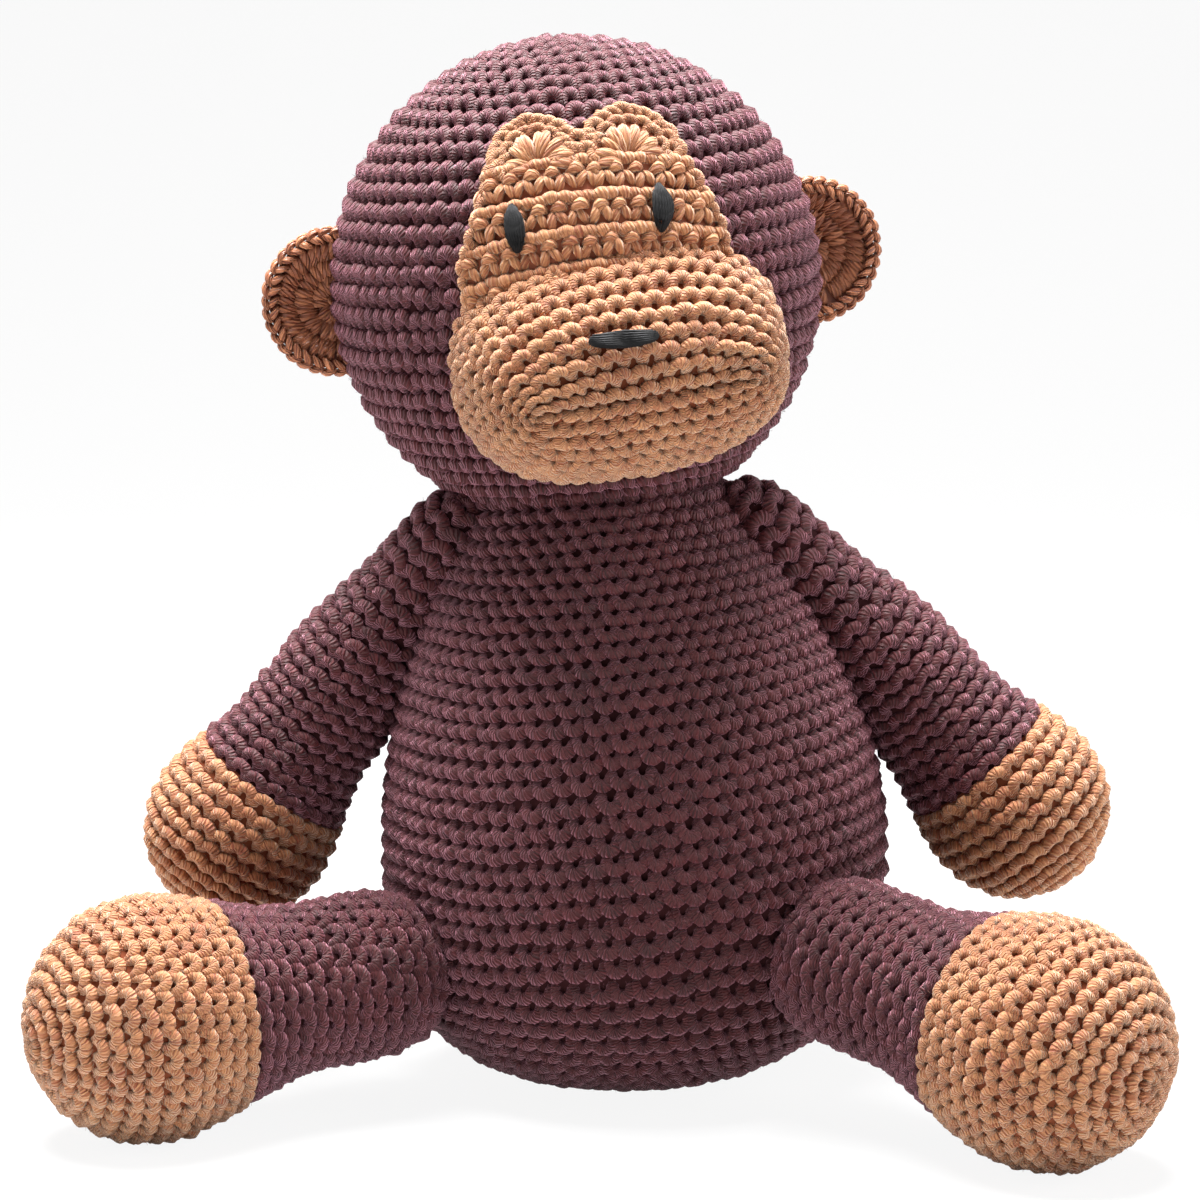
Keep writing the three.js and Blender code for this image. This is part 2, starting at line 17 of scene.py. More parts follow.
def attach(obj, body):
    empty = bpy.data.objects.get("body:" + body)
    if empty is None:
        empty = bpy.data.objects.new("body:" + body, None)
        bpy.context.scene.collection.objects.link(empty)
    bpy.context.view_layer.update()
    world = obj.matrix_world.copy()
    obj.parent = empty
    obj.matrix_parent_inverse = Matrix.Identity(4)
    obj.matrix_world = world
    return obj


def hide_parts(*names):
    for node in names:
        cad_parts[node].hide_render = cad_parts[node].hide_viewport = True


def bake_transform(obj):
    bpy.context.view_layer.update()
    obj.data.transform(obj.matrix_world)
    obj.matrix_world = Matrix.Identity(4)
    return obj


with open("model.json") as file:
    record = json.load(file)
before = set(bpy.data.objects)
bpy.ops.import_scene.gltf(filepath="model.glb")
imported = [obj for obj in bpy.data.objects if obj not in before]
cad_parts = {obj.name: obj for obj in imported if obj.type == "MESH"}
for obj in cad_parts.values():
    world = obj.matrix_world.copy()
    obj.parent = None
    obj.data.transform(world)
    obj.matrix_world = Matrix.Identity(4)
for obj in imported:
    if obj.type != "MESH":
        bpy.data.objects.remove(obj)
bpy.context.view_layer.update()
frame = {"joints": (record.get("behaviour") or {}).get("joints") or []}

bpy.context.scene.view_settings.view_transform = "Standard"
MM = 0.001
joints = {joint["name"]: joint for joint in frame["joints"]}


def pivot(joint):
    """The place of a joint, in millimetres."""
    return np.array(joints[joint]["pos_m"]) / MM


# %% [markdown]
# The camera comes first. The toy was taken from a little above its middle with a long lens, so the
# view is nearly level. A camera can be turned by hand, but here it is aimed at a point of the toy, so
# that its angles follow by themselves.

# %% Camera
camera_place = Vector((-6, -800, 215)) * MM
camera_target = Vector((-6, 0, 120)) * MM
focal_pixels = 3200
frame_pixels = 1200
sensor_width = 36
nearest_seen = 0.05
farthest_seen = 20

bpy.ops.object.select_all(action="DESELECT")
bpy.ops.object.camera_add(location=camera_place)
camera = bpy.context.object
camera.rotation_euler = (camera_target - camera_place).to_track_quat("-Z", "Y").to_euler()
camera.data.sensor_width = sensor_width
camera.data.lens = sensor_width * focal_pixels / frame_pixels
camera.data.clip_start = nearest_seen
camera.data.clip_end = farthest_seen
bpy.context.scene.camera = camera
print("lens", camera.data.lens, "mm")

# %% [markdown]
# The studio is one sheet of pale paper that runs from the floor up behind the toy. First comes its
# finish. The eye sees paper that glows a little, so that it reads as white and still keeps a shadow.
# The toy is lit by plain grey paper instead, so that the white adds no light to it.


# %% Paper finish
def seen_by_eye(tree):
    """1 for the rays that the eye follows, straight or through a reflection, and 0 for the rest."""
    rays = tree.nodes.new("ShaderNodeLightPath")
    either = tree.nodes.new("ShaderNodeMath")
    either.operation = "MAXIMUM"
    seen = tree.nodes.new("ShaderNodeMath")
    seen.operation = "MAXIMUM"
    tree.links.new(rays.outputs["Is Glossy Ray"], either.inputs[0])
    tree.links.new(rays.outputs["Is Transmission Ray"], either.inputs[1])
    tree.links.new(rays.outputs["Is Camera Ray"], seen.inputs[0])
    tree.links.new(either.outputs[0], seen.inputs[1])
    return seen.outputs[0]


def grey(level):
    return (level, level, level, 1)


bounce_level = 0.6
seen_level = 0.95
glow_share = 0.9


def paper_material():
    material = bpy.data.materials.new("studio_paper")
    material.use_nodes = True
    nodes = material.node_tree.nodes
    links = material.node_tree.links
    nodes.clear()
    bounce = nodes.new("ShaderNodeBsdfDiffuse")
    bounce.inputs["Color"].default_value = grey(bounce_level)
    seen_paper = nodes.new("ShaderNodeBsdfDiffuse")
    seen_paper.inputs["Color"].default_value = grey(seen_level)
    glow = nodes.new("ShaderNodeEmission")
    glow.inputs["Color"].default_value = grey(1)
    glow.inputs["Strength"].default_value = 1.0
    white = nodes.new("ShaderNodeMixShader")
    white.inputs[0].default_value = glow_share
    mix = nodes.new("ShaderNodeMixShader")
    out = nodes.new("ShaderNodeOutputMaterial")
    links.new(seen_paper.outputs[0], white.inputs[1])
    links.new(glow.outputs[0], white.inputs[2])
    links.new(seen_by_eye(material.node_tree), mix.inputs[0])
    links.new(bounce.outputs[0], mix.inputs[1])
    links.new(white.outputs[0], mix.inputs[2])
    links.new(mix.outputs[0], out.inputs["Surface"])
    return material


# %% [markdown]
# The sheet is a plane whose far edge is extruded upwards and rounded with a bevel. Two planes would
# do as well, but their corner would draw a line behind the toy.

# %% Paper floor and backdrop
paper_half = 2.5
bend_radius = 1.2
bend_steps = 12

bpy.ops.object.select_all(action="DESELECT")
bpy.ops.mesh.primitive_plane_add(size=2 * paper_half, location=(0, 0, 0))
paper = bpy.context.object
paper.name = "paper"
bpy.ops.object.mode_set(mode="EDIT")
bpy.ops.mesh.select_all(action="DESELECT")
bpy.ops.object.mode_set(mode="OBJECT")
for edge in paper.data.edges:
    edge.select = all(paper.data.vertices[i].co.y > 0 for i in edge.vertices)
bpy.ops.object.mode_set(mode="EDIT")
bpy.ops.mesh.select_mode(type="EDGE")
bpy.ops.mesh.extrude_region_move(TRANSFORM_OT_translate={"value": (0, 0, 2 * paper_half)})
bpy.ops.object.mode_set(mode="OBJECT")
bend = paper.modifiers.new("Bend", "BEVEL")
bend.width = bend_radius
bend.segments = bend_steps
bpy.ops.object.modifier_apply(modifier="Bend")
bpy.ops.object.shade_smooth()
paper.data.materials.append(paper_material())
print("paper faces", len(paper.data.polygons))

# %% [markdown]
# The light is soft. A large lamp hangs above the toy and a little behind it, and makes the bright
# crown and the lit tops of the feet. A weak lamp on each side fills the shade, and the world adds a
# low even level. The eye sees the world as white, and the toy isn't lit by that white.

# %% Lamps and world
lamp_size = 0.8
toy_middle = Vector((0, 0, 0.13))
world_level = 0.14
seen_world_level = 1.0


def soft_lamp(name, place, watts):
    """A round lamp that looks at the middle of the toy."""
    bpy.ops.object.select_all(action="DESELECT")
    bpy.ops.object.light_add(type="AREA", location=place)
    lamp = bpy.context.object
    lamp.name = name
    lamp.data.shape = "DISK"
    lamp.data.size = lamp_size
    lamp.data.energy = watts
    lamp.rotation_euler = (toy_middle - Vector(place)).to_track_quat("-Z", "Y").to_euler()


soft_lamp("top_lamp", (-0.1, 0.12, 1.1), watts=64)
soft_lamp("left_lamp", (-1.1, -0.3, 0.6), watts=3.4)
soft_lamp("right_lamp", (1.1, -0.2, 0.55), watts=7.6)

world = bpy.data.worlds.new("studio")
bpy.context.scene.world = world
world.use_nodes = True
world_nodes = world.node_tree.nodes
world_links = world.node_tree.links
lighting = world_nodes["Background"]
seen_world = world_nodes.new("ShaderNodeBackground")
for background, strength in ((lighting, world_level), (seen_world, seen_world_level)):
    background.inputs["Color"].default_value = grey(1)
    background.inputs["Strength"].default_value = strength
sky = world_nodes.new("ShaderNodeMixShader")
world_links.new(seen_by_eye(world.node_tree), sky.inputs[0])
world_links.new(lighting.outputs[0], sky.inputs[1])
world_links.new(seen_world.outputs[0], sky.inputs[2])
world_links.new(sky.outputs[0], world_nodes["World Output"].inputs["Surface"])

# %% [markdown]
# Every finish of the toy is made of nodes, because a picture of yarn would stretch and repeat on the
# bent stitches. The yarn and the stuffing need the same few kinds of node, so a small class adds them:
# a step of arithmetic, an attribute of the mesh, a noise, a colour between two, and a relief.


# %% Nodes for a finish
def linear(red, green, blue):
    """A colour given as the eight bit numbers of a screen, as the shader wants it."""
    share = np.array([red, green, blue]) / 255
    curve = np.where(share <= 0.04045, share / 12.92, ((share + 0.055) / 1.055) ** 2.4)
    return (*curve, 1)


class Finish:
    """A material under way, with short ways to add nodes to it."""

    def __init__(self, name, roughness, shine):
        self.material = bpy.data.materials.new(name)
        self.material.use_nodes = True
        self.nodes = self.material.node_tree.nodes
        self.links = self.material.node_tree.links
        self.shader = self.nodes["Principled BSDF"]
        self.shader.inputs["Roughness"].default_value = roughness
        self.shader.inputs["Specular IOR Level"].default_value = shine

    def maths(self, operation, *values):
        """One step of arithmetic. A value is a number or the output of another node."""
        node = self.nodes.new("ShaderNodeMath")
        node.operation = operation
        for socket, value in zip(node.inputs, values):
            if isinstance(value, (int, float)):
                socket.default_value = value
            else:
                self.links.new(value, socket)
        return node.outputs[0]

    def attribute(self, name):
        node = self.nodes.new("ShaderNodeAttribute")
        node.attribute_name = name
        return node.outputs["Fac"]

    def noise(self, place, scale, detail):
        node = self.nodes.new("ShaderNodeTexNoise")
        node.inputs["Scale"].default_value = scale
        node.inputs["Detail"].default_value = detail
        self.links.new(place, node.inputs["Vector"])
        return node.outputs["Fac"]

    def noise_on_object(self, scale, detail):
        place = self.nodes.new("ShaderNodeTexCoord")
        return self.noise(place.outputs["Object"], scale, detail)

    def colour(self, dark, light, share):
        mix = self.nodes.new("ShaderNodeMix")
        mix.data_type = "RGBA"
        mix.inputs["A"].default_value = dark
        mix.inputs["B"].default_value = light
        self.links.new(share, mix.inputs["Factor"])
        self.links.new(mix.outputs["Result"], self.shader.inputs["Base Color"])

    def relief(self, height, strength, distance):
        bump = self.nodes.new("ShaderNodeBump")
        bump.inputs["Strength"].default_value = strength
        bump.inputs["Distance"].default_value = distance * MM
        self.links.new(height, bump.inputs["Height"])
        self.links.new(bump.outputs["Normal"], self.shader.inputs["Normal"])


# %% [markdown]
# The yarn is cotton of plies twisted together. Each stitch carries its own UV map, with the length
# along the yarn in millimetres and the turn round it, so the plies can be drawn as slanting ridges
# that follow every bend, with a fine streak for the threads in them. Two attributes help: tone makes
# one stitch a little lighter than the next, and depth paints shade on the yarn where it dives into the
# fabric, as the holes between stitches lie in shadow.

# %% Yarn
yarn_shine = 0.35
yarn_middle = 0.35  # the usual share of the light colour, before ply and depth
ply_weight, streak_weight, tone_weight, blotch_weight = 0.3, 2.3, 0.9, 0.4
ply_relief, streak_relief, relief_strength, relief_height = 0.7, 1.5, 0.9, 0.45
streaks_in_ply, streaks_in_mm, streak_jump = 3.0, 0.45, 400.0
blotch_scale = 70


def yarn_finish(name, light, dark, roughness, sheen, sheen_roughness, sheen_tint, plies=2, ply_step=0.56):
    """Twisted yarn. ply_step is the length of yarn from one ply to the next."""
    yarn = Finish(name, roughness, yarn_shine)
    yarn.shader.inputs["Sheen Weight"].default_value = sheen
    yarn.shader.inputs["Sheen Roughness"].default_value = sheen_roughness
    yarn.shader.inputs["Sheen Tint"].default_value = sheen_tint
    map_node = yarn.nodes.new("ShaderNodeUVMap")
    map_node.uv_map = "yarn"
    parts = yarn.nodes.new("ShaderNodeSeparateXYZ")
    yarn.links.new(map_node.outputs["UV"], parts.inputs[0])
    along, around = parts.outputs["X"], parts.outputs["Y"]
    tone, depth = yarn.attribute("tone"), yarn.attribute("depth")

    phase = yarn.maths("MULTIPLY_ADD", around, plies, yarn.maths("DIVIDE", along, ply_step))
    wave = yarn.maths("SINE", yarn.maths("MULTIPLY", phase, 2 * math.pi))
    ply = yarn.maths("MULTIPLY_ADD", wave, 0.5, 0.5)
    streak_place = yarn.nodes.new("ShaderNodeCombineXYZ")
    yarn.links.new(yarn.maths("MULTIPLY", phase, streaks_in_ply), streak_place.inputs["X"])
    yarn.links.new(yarn.maths("MULTIPLY", along, streaks_in_mm), streak_place.inputs["Y"])
    yarn.links.new(yarn.maths("MULTIPLY", tone, streak_jump), streak_place.inputs["Z"])
    streak = yarn.noise(streak_place.outputs[0], scale=1.0, detail=2)
    blotch = yarn.noise_on_object(blotch_scale, detail=2)

    lit = yarn.maths("MULTIPLY_ADD", streak, streak_weight, yarn_middle - streak_weight / 2)
    lit = yarn.maths("MULTIPLY_ADD", ply, ply_weight, lit)
    for change, weight in ((tone, tone_weight), (blotch, blotch_weight)):
        lit = yarn.maths("ADD", lit, yarn.maths("MULTIPLY_ADD", change, weight, -weight / 2))
    # Painted shade: depth scales the share of the light colour, so the yarn goes towards its dark colour
    # where it dives into the holes.
    yarn.colour(dark, light, yarn.maths("MULTIPLY", lit, depth))
    ridges = yarn.maths("MULTIPLY", ply, ply_relief)
    yarn.relief(yarn.maths("MULTIPLY_ADD", streak, streak_relief, ridges), relief_strength, relief_height)
    return yarn.material


# %% [markdown]
# The toy takes four yarns. The plum brown and the tan have a fluff that catches the light at their
# edges. The ears are of a smoother tan that shines more. The black thread of the eyes and the nose is
# hardly twisted, so its plies run nearly along it. One finish with other colours gives all four.

# %% The four yarns
brown_yarn = yarn_finish(
    "brown_yarn", light=linear(93, 35, 37), dark=linear(46, 16, 17), roughness=0.6,
    sheen=0.6, sheen_roughness=0.35, sheen_tint=linear(250, 180, 200))
tan_yarn = yarn_finish(
    "tan_yarn", light=linear(204, 145, 97), dark=linear(142, 70, 44), roughness=0.6,
    sheen=0.6, sheen_roughness=0.4, sheen_tint=linear(255, 242, 220))
ear_yarn = yarn_finish(
    "ear_yarn", light=linear(222, 148, 104), dark=linear(108, 50, 38), roughness=0.32,
    sheen=0.1, sheen_roughness=0.4, sheen_tint=linear(255, 225, 190))
black_thread = yarn_finish(
    "black_thread", light=linear(17, 17, 20), dark=linear(4, 4, 5), roughness=0.8,
    sheen=0.0, sheen_roughness=0.4, sheen_tint=linear(210, 210, 230), plies=3, ply_step=8.0)
print("yarns", [m.name for m in (brown_yarn, tan_yarn, ear_yarn, black_thread)])

# %% [markdown]
# The stuffing shows only as a dark hint in the holes between stitches. Yarn fluff lines those holes and
# they lie in shadow, so the stuffing is painted a deep shade of the yarn over it, in soft tufts: partly the
# fluff, partly painted shade. White fibre would be true to the inside of such a toy, but it would show as
# white dots.

# %% Stuffing finish
tuft_scale = 220
tuft_relief = 0.4


def filling_finish(name, shaded_fibre_colour, shade_colour):
    filling = Finish(name, roughness=1.0, shine=0.1)
    tufts = filling.noise_on_object(tuft_scale, detail=4)
    filling.colour(shade_colour, shaded_fibre_colour, tufts)
    filling.relief(tufts, strength=1.0, distance=tuft_relief)
    return filling.material


# Both stuffing colours are dark with painted shade, as the stuffing looks deep in the shaded holes.
brown_filling = filling_finish("filling_in_brown", linear(58, 27, 29), linear(32, 14, 15))
tan_filling = filling_finish("filling_in_tan", linear(136, 76, 50), linear(94, 46, 32))
print("fillings", brown_filling.name, tan_filling.name)

# %% [markdown]
# A tube of yarn is the one shape that everything is made of. It could be a curve with a bevel, but a
# tube whose rings are counted has only a few dozen faces, and its UV map runs along the yarn and round
# it. Each point of its line says how thick the yarn is there.


# %% Tubes of yarn
def unit(vectors):
    vectors = np.asarray(vectors, float)
    return vectors / np.maximum(np.linalg.norm(vectors, axis=-1), 1e-9)[..., None]


def smooth_line(points, count):
    """A curve through the points, cut into evenly numbered places."""
    points = np.array(points, float)
    padded = np.vstack([2 * points[0] - points[1], points, 2 * points[-1] - points[-2]])
    places = np.linspace(0, len(points) - 1, count)
    i = np.minimum(places.astype(int), len(points) - 2)
    t = (places - i)[:, None]
    a, b, c, d = padded[i], padded[i + 1], padded[i + 2], padded[i + 3]
    return 0.5 * (2 * b + (c - a) * t + (2 * a - 5 * b + 4 * c - d) * t**2 + (3 * b - a - 3 * c + d) * t**3)


def tube_faces(rings, sides, run):
    """The faces of a tube closed at both ends, and their UV: length along it and turn round it."""
    faces, uv = [], []
    for i in range(rings - 1):
        for k in range(sides):
            after = (k + 1) % sides
            faces.append([i * sides + k, (i + 1) * sides + k, (i + 1) * sides + after, i * sides + after])
            uv += [(run[i], k / sides), (run[i + 1], k / sides),
                   (run[i + 1], (k + 1) / sides), (run[i], (k + 1) / sides)]
    for i, ends in ((0, range(sides)), (rings - 1, range(sides - 1, -1, -1))):
        faces.append([i * sides + k for k in ends])
        uv += [(run[i], k / sides) for k in ends]
    return faces, np.array(uv)


def yarn_tube(points, rings, sides=6):
    """A tube of yarn along a line of (x, y, z, radius) points."""
    line = smooth_line(points, rings)
    path, radius = line[:, :3], line[:, 3]
    ahead = unit(np.gradient(path, axis=0))
    across = unit(np.cross(ahead, [0.0, 0.0, 1.0]))
    up = np.cross(across, ahead)
    turn = 2 * np.pi * (np.arange(sides) + 0.5) / sides
    ring = np.cos(turn)[None, :, None] * across[:, None] + np.sin(turn)[None, :, None] * up[:, None]
    run = np.concatenate([[0], np.cumsum(np.linalg.norm(np.diff(path, axis=0), axis=1))])
    faces, uv = tube_faces(rings, sides, run)
    corners = path[:, None] + radius[:, None, None] * ring
    return {"corners": corners.reshape(-1, 3), "faces": faces, "uv": uv}


# %% [markdown]
# One stitch is a loop of yarn. It comes out of the round below, swells up one side, lies over the
# top as a plump lobe and goes back down the other side, with a small hole under its arch. It is
# modelled once, with x along the round, y up to the next round and z out of the fabric.

# %% One stitch
stitch_width = 4.6
round_height = 4.5
arch_line = [  # x in widths, y in rounds, z and radius in millimetres
    (-0.28, -0.22, -1.0, 1.05),
    (-0.41, 0.06, 0.15, 1.28),
    (-0.37, 0.34, 0.80, 1.50),
    (-0.19, 0.53, 0.98, 1.66),
    (0.02, 0.59, 1.02, 1.74),
    (0.22, 0.51, 0.98, 1.66),
    (0.39, 0.32, 0.80, 1.50),
    (0.41, 0.04, 0.15, 1.28),
    (0.28, -0.22, -1.0, 1.05),
]
stitch = yarn_tube([(x * stitch_width, y * round_height, z, r) for x, y, z, r in arch_line], 10)
fibre = yarn_tube([(0, 0, 0, 0.045), (0.1, 0.5, 0.2, 0.04), (0.5, 0.9, 0.3, 0.02)], 4, 3)
print("stitch", len(stitch["corners"]), "corners", len(stitch["faces"]), "faces")

# %% [markdown]
# A stuffed form is a grid of rounds: rows from one end to the other, each with the same number of
# places around. A subdivided primitive would give the same shape, but crochet needs to know where
# each round runs and how far it is around, and a grid of rounds tells that at once.

# %% Stuffed forms
rows_in_round = 2
places_around = 96
girth_places = 65
turns = np.linspace(0, 2 * np.pi, places_around, endpoint=False)


class Form:
    """A closed surface of rounds. Its normals point outwards."""

    def __init__(self, rows, name):
        self.name = name
        self.rows = np.array(rows, float)
        if self.outward_share() < 0.5:
            self.rows = self.rows[:, ::-1]
        self.normals = self.find_normals()

    def find_normals(self):
        around = np.roll(self.rows, -1, 1) - np.roll(self.rows, 1, 1)
        normals = np.cross(around, np.gradient(self.rows, axis=0))
        normals[0] = normals[1].mean(0)
        normals[-1] = normals[-2].mean(0)
        return unit(normals)

    def outward_share(self):
        outwards = self.rows - self.rows.mean((0, 1))
        return np.mean(np.einsum("ijk,ijk->ij", self.find_normals(), outwards) > 0)

    def at(self, row, turn):
        """Places and normals at rows, counted from 0, and turns, where 1 is once around."""
        last, count = len(self.rows) - 1, self.rows.shape[1]
        row = np.clip(row, 0, last - 1e-6)
        i = row.astype(int)
        f = (row - i)[..., None]
        place = np.mod(turn, 1) * count
        k = place.astype(int) % count
        g = (place - np.floor(place))[..., None]
        found = []
        for values in (self.rows, self.normals):
            low = values[i, k] * (1 - g) + values[i, (k + 1) % count] * g
            high = values[i + 1, k] * (1 - g) + values[i + 1, (k + 1) % count] * g
            found.append(low * (1 - f) + high * f)
        return found[0], unit(found[1])

    def girth(self, row):
        around = np.linspace(0, 1, girth_places)
        places = self.at(np.full(girth_places, float(row)), around)[0]
        return np.linalg.norm(np.diff(places, axis=0), axis=1).sum()


print("forms have", places_around, "places around and", rows_in_round, "rows in a round")

# %% [markdown]
# The rounds of a piece are about equally high, so the rows of a form follow its profile in even steps.
# The step may change along the profile, for yarn that is pulled tighter in one place than in another.
# Subdividing would cut every stretch into as many parts, long or short, so the steps are measured.


# %% Even steps
def even_rows(profile, spacing):
    """Points along a profile at the given spacing, which may differ from point to point."""
    profile = np.array(profile, float)
    steps = np.linalg.norm(np.diff(profile, axis=0), axis=1)
    spacing = np.broadcast_to(spacing, len(profile))
    run = np.concatenate([[0], np.cumsum(2 * steps / (spacing[1:] + spacing[:-1]))])
    places = np.linspace(0, run[-1], max(2, round(run[-1])) + 1)
    return np.stack([np.interp(places, run, profile[:, i]) for i in range(profile.shape[1])], axis=1)


# %% [markdown]
# Some stitches are set one by one, each with its own place and its own directions. Copies of a mesh
# could be placed as objects and joined, but one array of corners is quicker, and lets each copy get a
# small seeded change of size, slant and tone, as handwork has.

# %% Setting single stitches
size_change = 0.04
usual_wobble = 0.06  # how far a stitch leans to a side, as a slope
usual_tone, tone_change, tone_limits = 0.5, 0.07, (0.3, 0.7)


def hand_tones(draw, count):
    return np.clip(draw.normal(usual_tone, tone_change, count), *tone_limits)


def recess_shade(z, deepest, lowest, span, least):
    """Painted shade of the yarn at height z, as a share of its light: deepest at the lowest point, and 1 at
    span above it.
    """
    return np.clip(deepest + (1 - deepest) * (z - lowest) / span, least, 1)


def set_stitches(one, places, ups, outs, scales, seed, wobble=usual_wobble, light=1.0):
    """Copies of a template, with its y along up and its z along out. Scales are for x, y and z."""
    draw = np.random.default_rng(seed)
    places, outs = np.asarray(places, float), unit(outs)
    ups = unit(ups - outs * np.einsum("ij,ij->i", ups, outs)[:, None])
    ups = unit(ups + np.cross(ups, outs) * draw.normal(0, wobble, (len(places), 1)))
    alongs = np.cross(ups, outs)
    local = one["corners"][None] * np.broadcast_to(scales, (len(places), 3))[:, None]
    local = local * draw.normal(1, size_change, (len(places), 1, 1))
    corners = (places[:, None] + local[..., :1] * alongs[:, None] + local[..., 1:2] * ups[:, None]
               + local[..., 2:] * outs[:, None])
    # Painted shade: copies are darker where they dive into the fabric, and darker still where light is below
    # 1.
    shade_depths = light * recess_shade(one["corners"][:, 2], deepest=0.35, lowest=-1.0, span=2.4, least=0.2)
    return (one, corners, hand_tones(draw, len(places)), shade_depths)


def set_once(one, tone, depth):
    """A template that already lies in its place."""
    return (one, one["corners"][None], np.array([tone]), np.full(len(one["corners"]), depth))


# %% [markdown]
# A cover is laid round by round. Each round holds as many stitches as its girth needs, counted from
# the front, so that the columns of stitches are tidiest there. A few loose fibres stand off the yarn. A
# hair system could grow them, but it isn't part of a mesh, so each fibre is a very thin tube.

# %% Places in the rounds
fewest_stitches = 6
round_middle = 0.55  # where in a round its girth is taken
fibres_for_stitch = 1.2
fibre_lift = 2.0
fibre_start = (0.2, 1)  # where in its round a fibre may start
fibre_rise = 0.7  # the steepest that a fibre stands off, as a slope


def round_places(form, rounds, width, lean):
    """The round, the place around and the width of each stitch, where 1 is once around."""
    front = np.argmin(form.rows[len(form.rows) // 2, :, 1]) / form.rows.shape[1]
    rows, places, widths = [], [], []
    for i in rounds:
        girth = form.girth((i + round_middle) * rows_in_round)
        count = max(fewest_stitches, round(girth / width))
        rows.append(np.full(count, i, float))
        places.append(front + (np.arange(count) - count // 2 + lean * i) / count)
        widths.append(np.full(count, 1 / count))
    return map(np.concatenate, (rows, places, widths))


def stray_fibres(form, rows, places, widths, draw, seed):
    """Short fibres on stitches that the draw picks."""
    some = draw.integers(0, len(rows), round(fibres_for_stitch * len(rows)))
    row = (rows[some] + draw.uniform(*fibre_start, len(some))) * rows_in_round
    turn = places[some] + draw.uniform(-0.5, 0.5, len(some)) * widths[some]
    root, out = form.at(row, turn)
    sideways = unit(np.cross(out, draw.normal(size=out.shape)))
    up = sideways + out * draw.uniform(0.0, fibre_rise, (len(some), 1))
    return set_stitches(fibre, root + out * fibre_lift, up, np.cross(out, sideways), (1, 1, 1), seed)


# %% [markdown]
# Each stitch of a round is bent onto the form, so that it follows every swell. An array on a curve
# bends its copies too, but along one line only and all alike. Here the rounds wave a little, as they do
# by hand, and every stitch gets a small seeded change of place, height and size.

# %% Laying rounds
round_waves = ((0.05, 3, 0.13), (0.04, 7, -0.31))  # height in rounds, waves around, drift with each round
place_change, lift_change, swell_change = 0.04, 0.12, 0.06
judged_at = 0.6  # where in its round a stitch is judged to show or not


def lay_rounds(form, rounds, keep, seed, width=stitch_width, lean=0.2, slope=None):
    """Stitches over the rounds of a form, and stray fibres on them. lean shifts each round by a share
    of a stitch, counted from the front. slope moves places along the form, in rounds."""
    draw = np.random.default_rng(seed)
    rows, places, widths = round_places(form, rounds, width, lean)
    if slope:
        rows = rows + slope(form.at(rows * rows_in_round, places)[0])
    for height, waves, drift in round_waves:
        rows = rows + height * np.sin(2 * np.pi * (waves * places + drift * rows))
    kept = keep(form.at((rows + judged_at) * rows_in_round, places)[0])
    rows, places, widths = rows[kept], places[kept], widths[kept]
    count = len(rows)
    shift = draw.normal(0, place_change, (count, 2, 1))
    lift = draw.normal(0, lift_change, (count, 1))
    swell = draw.normal(1, swell_change, (count, 1))
    x = stitch["corners"][:, 0] / stitch_width
    y = stitch["corners"][:, 1] / round_height
    z = stitch["corners"][:, 2]
    turn = places[:, None] + (x[None] * swell + shift[:, 0]) * widths[:, None]
    row = (rows[:, None] + y[None] + shift[:, 1]) * rows_in_round
    place, normal = form.at(row, turn)
    corners = place + normal * (z[None] * swell + lift)[..., None]
    tones = hand_tones(draw, count)
    # Painted shade: the stitch is darker where it dives into the fabric.
    shade_depths = recess_shade(z, deepest=0.45, lowest=-0.8, span=2.2, least=0.3)
    return [(stitch, corners, tones, shade_depths), stray_fibres(form, rows, places, widths, draw, seed)]


# %% [markdown]
# A piece is one mesh made of layers, and a layer is one template with all its copies. Thousands of
# objects could be joined instead, but that takes minutes, and writing the corners and faces in one go
# takes a moment. The tone and the depth of each stitch are kept as attributes for the yarn; the depth
# sets its painted shade.


# %% Making a mesh
def make_mesh(name, layers, material):
    """One mesh object from layers of copied templates."""
    corners, loops, starts, uv, tones, shade_depths = [], [], [], [], [], []
    corner_count = loop_count = 0
    for one, places, tone, depth in layers:
        copies, size = places.shape[:2]
        sizes = np.array([len(face) for face in one["faces"]])
        flat = np.concatenate([np.array(face) for face in one["faces"]])
        offset = corner_count + size * np.arange(copies)
        loops.append((flat[None] + offset[:, None]).ravel())
        face_starts = np.concatenate([[0], np.cumsum(sizes)[:-1]])
        starts.append((face_starts[None] + loop_count + len(flat) * np.arange(copies)[:, None]).ravel())
        uv.append(np.tile(one["uv"], (copies, 1)))
        corners.append(places.reshape(-1, 3))
        tones.append(np.repeat(tone, size))
        shade_depths.append(np.tile(depth, copies))
        corner_count += copies * size
        loop_count += copies * len(flat)
    corners, loops, starts, uv, tones, shade_depths = map(
        np.concatenate, (corners, loops, starts, uv, tones, shade_depths))
    mesh = bpy.data.meshes.new(name)
    mesh.vertices.add(len(corners))
    mesh.vertices.foreach_set("co", (corners * MM).astype(np.float32).ravel())
    mesh.loops.add(len(loops))
    mesh.loops.foreach_set("vertex_index", loops.astype(np.int32))
    mesh.polygons.add(len(starts))
    mesh.polygons.foreach_set("loop_start", starts.astype(np.int32))
    mesh.uv_layers.new(name="yarn").data.foreach_set("uv", uv.astype(np.float32).ravel())
    for attribute, values in (("tone", tones), ("depth", shade_depths)):
        mesh.attributes.new(attribute, "FLOAT", "POINT").data.foreach_set("value", values.astype(np.float32))
    mesh.update(calc_edges=True)
    mesh.validate()
    mesh.shade_smooth()
    mesh.materials.append(material)
    piece = bpy.data.objects.new(name, mesh)
    bpy.context.scene.collection.objects.link(piece)
    triangles = sum(len(p.vertices) - 2 for p in mesh.polygons)
    print(name, len(layers), "layers", triangles, "triangles")
    return piece
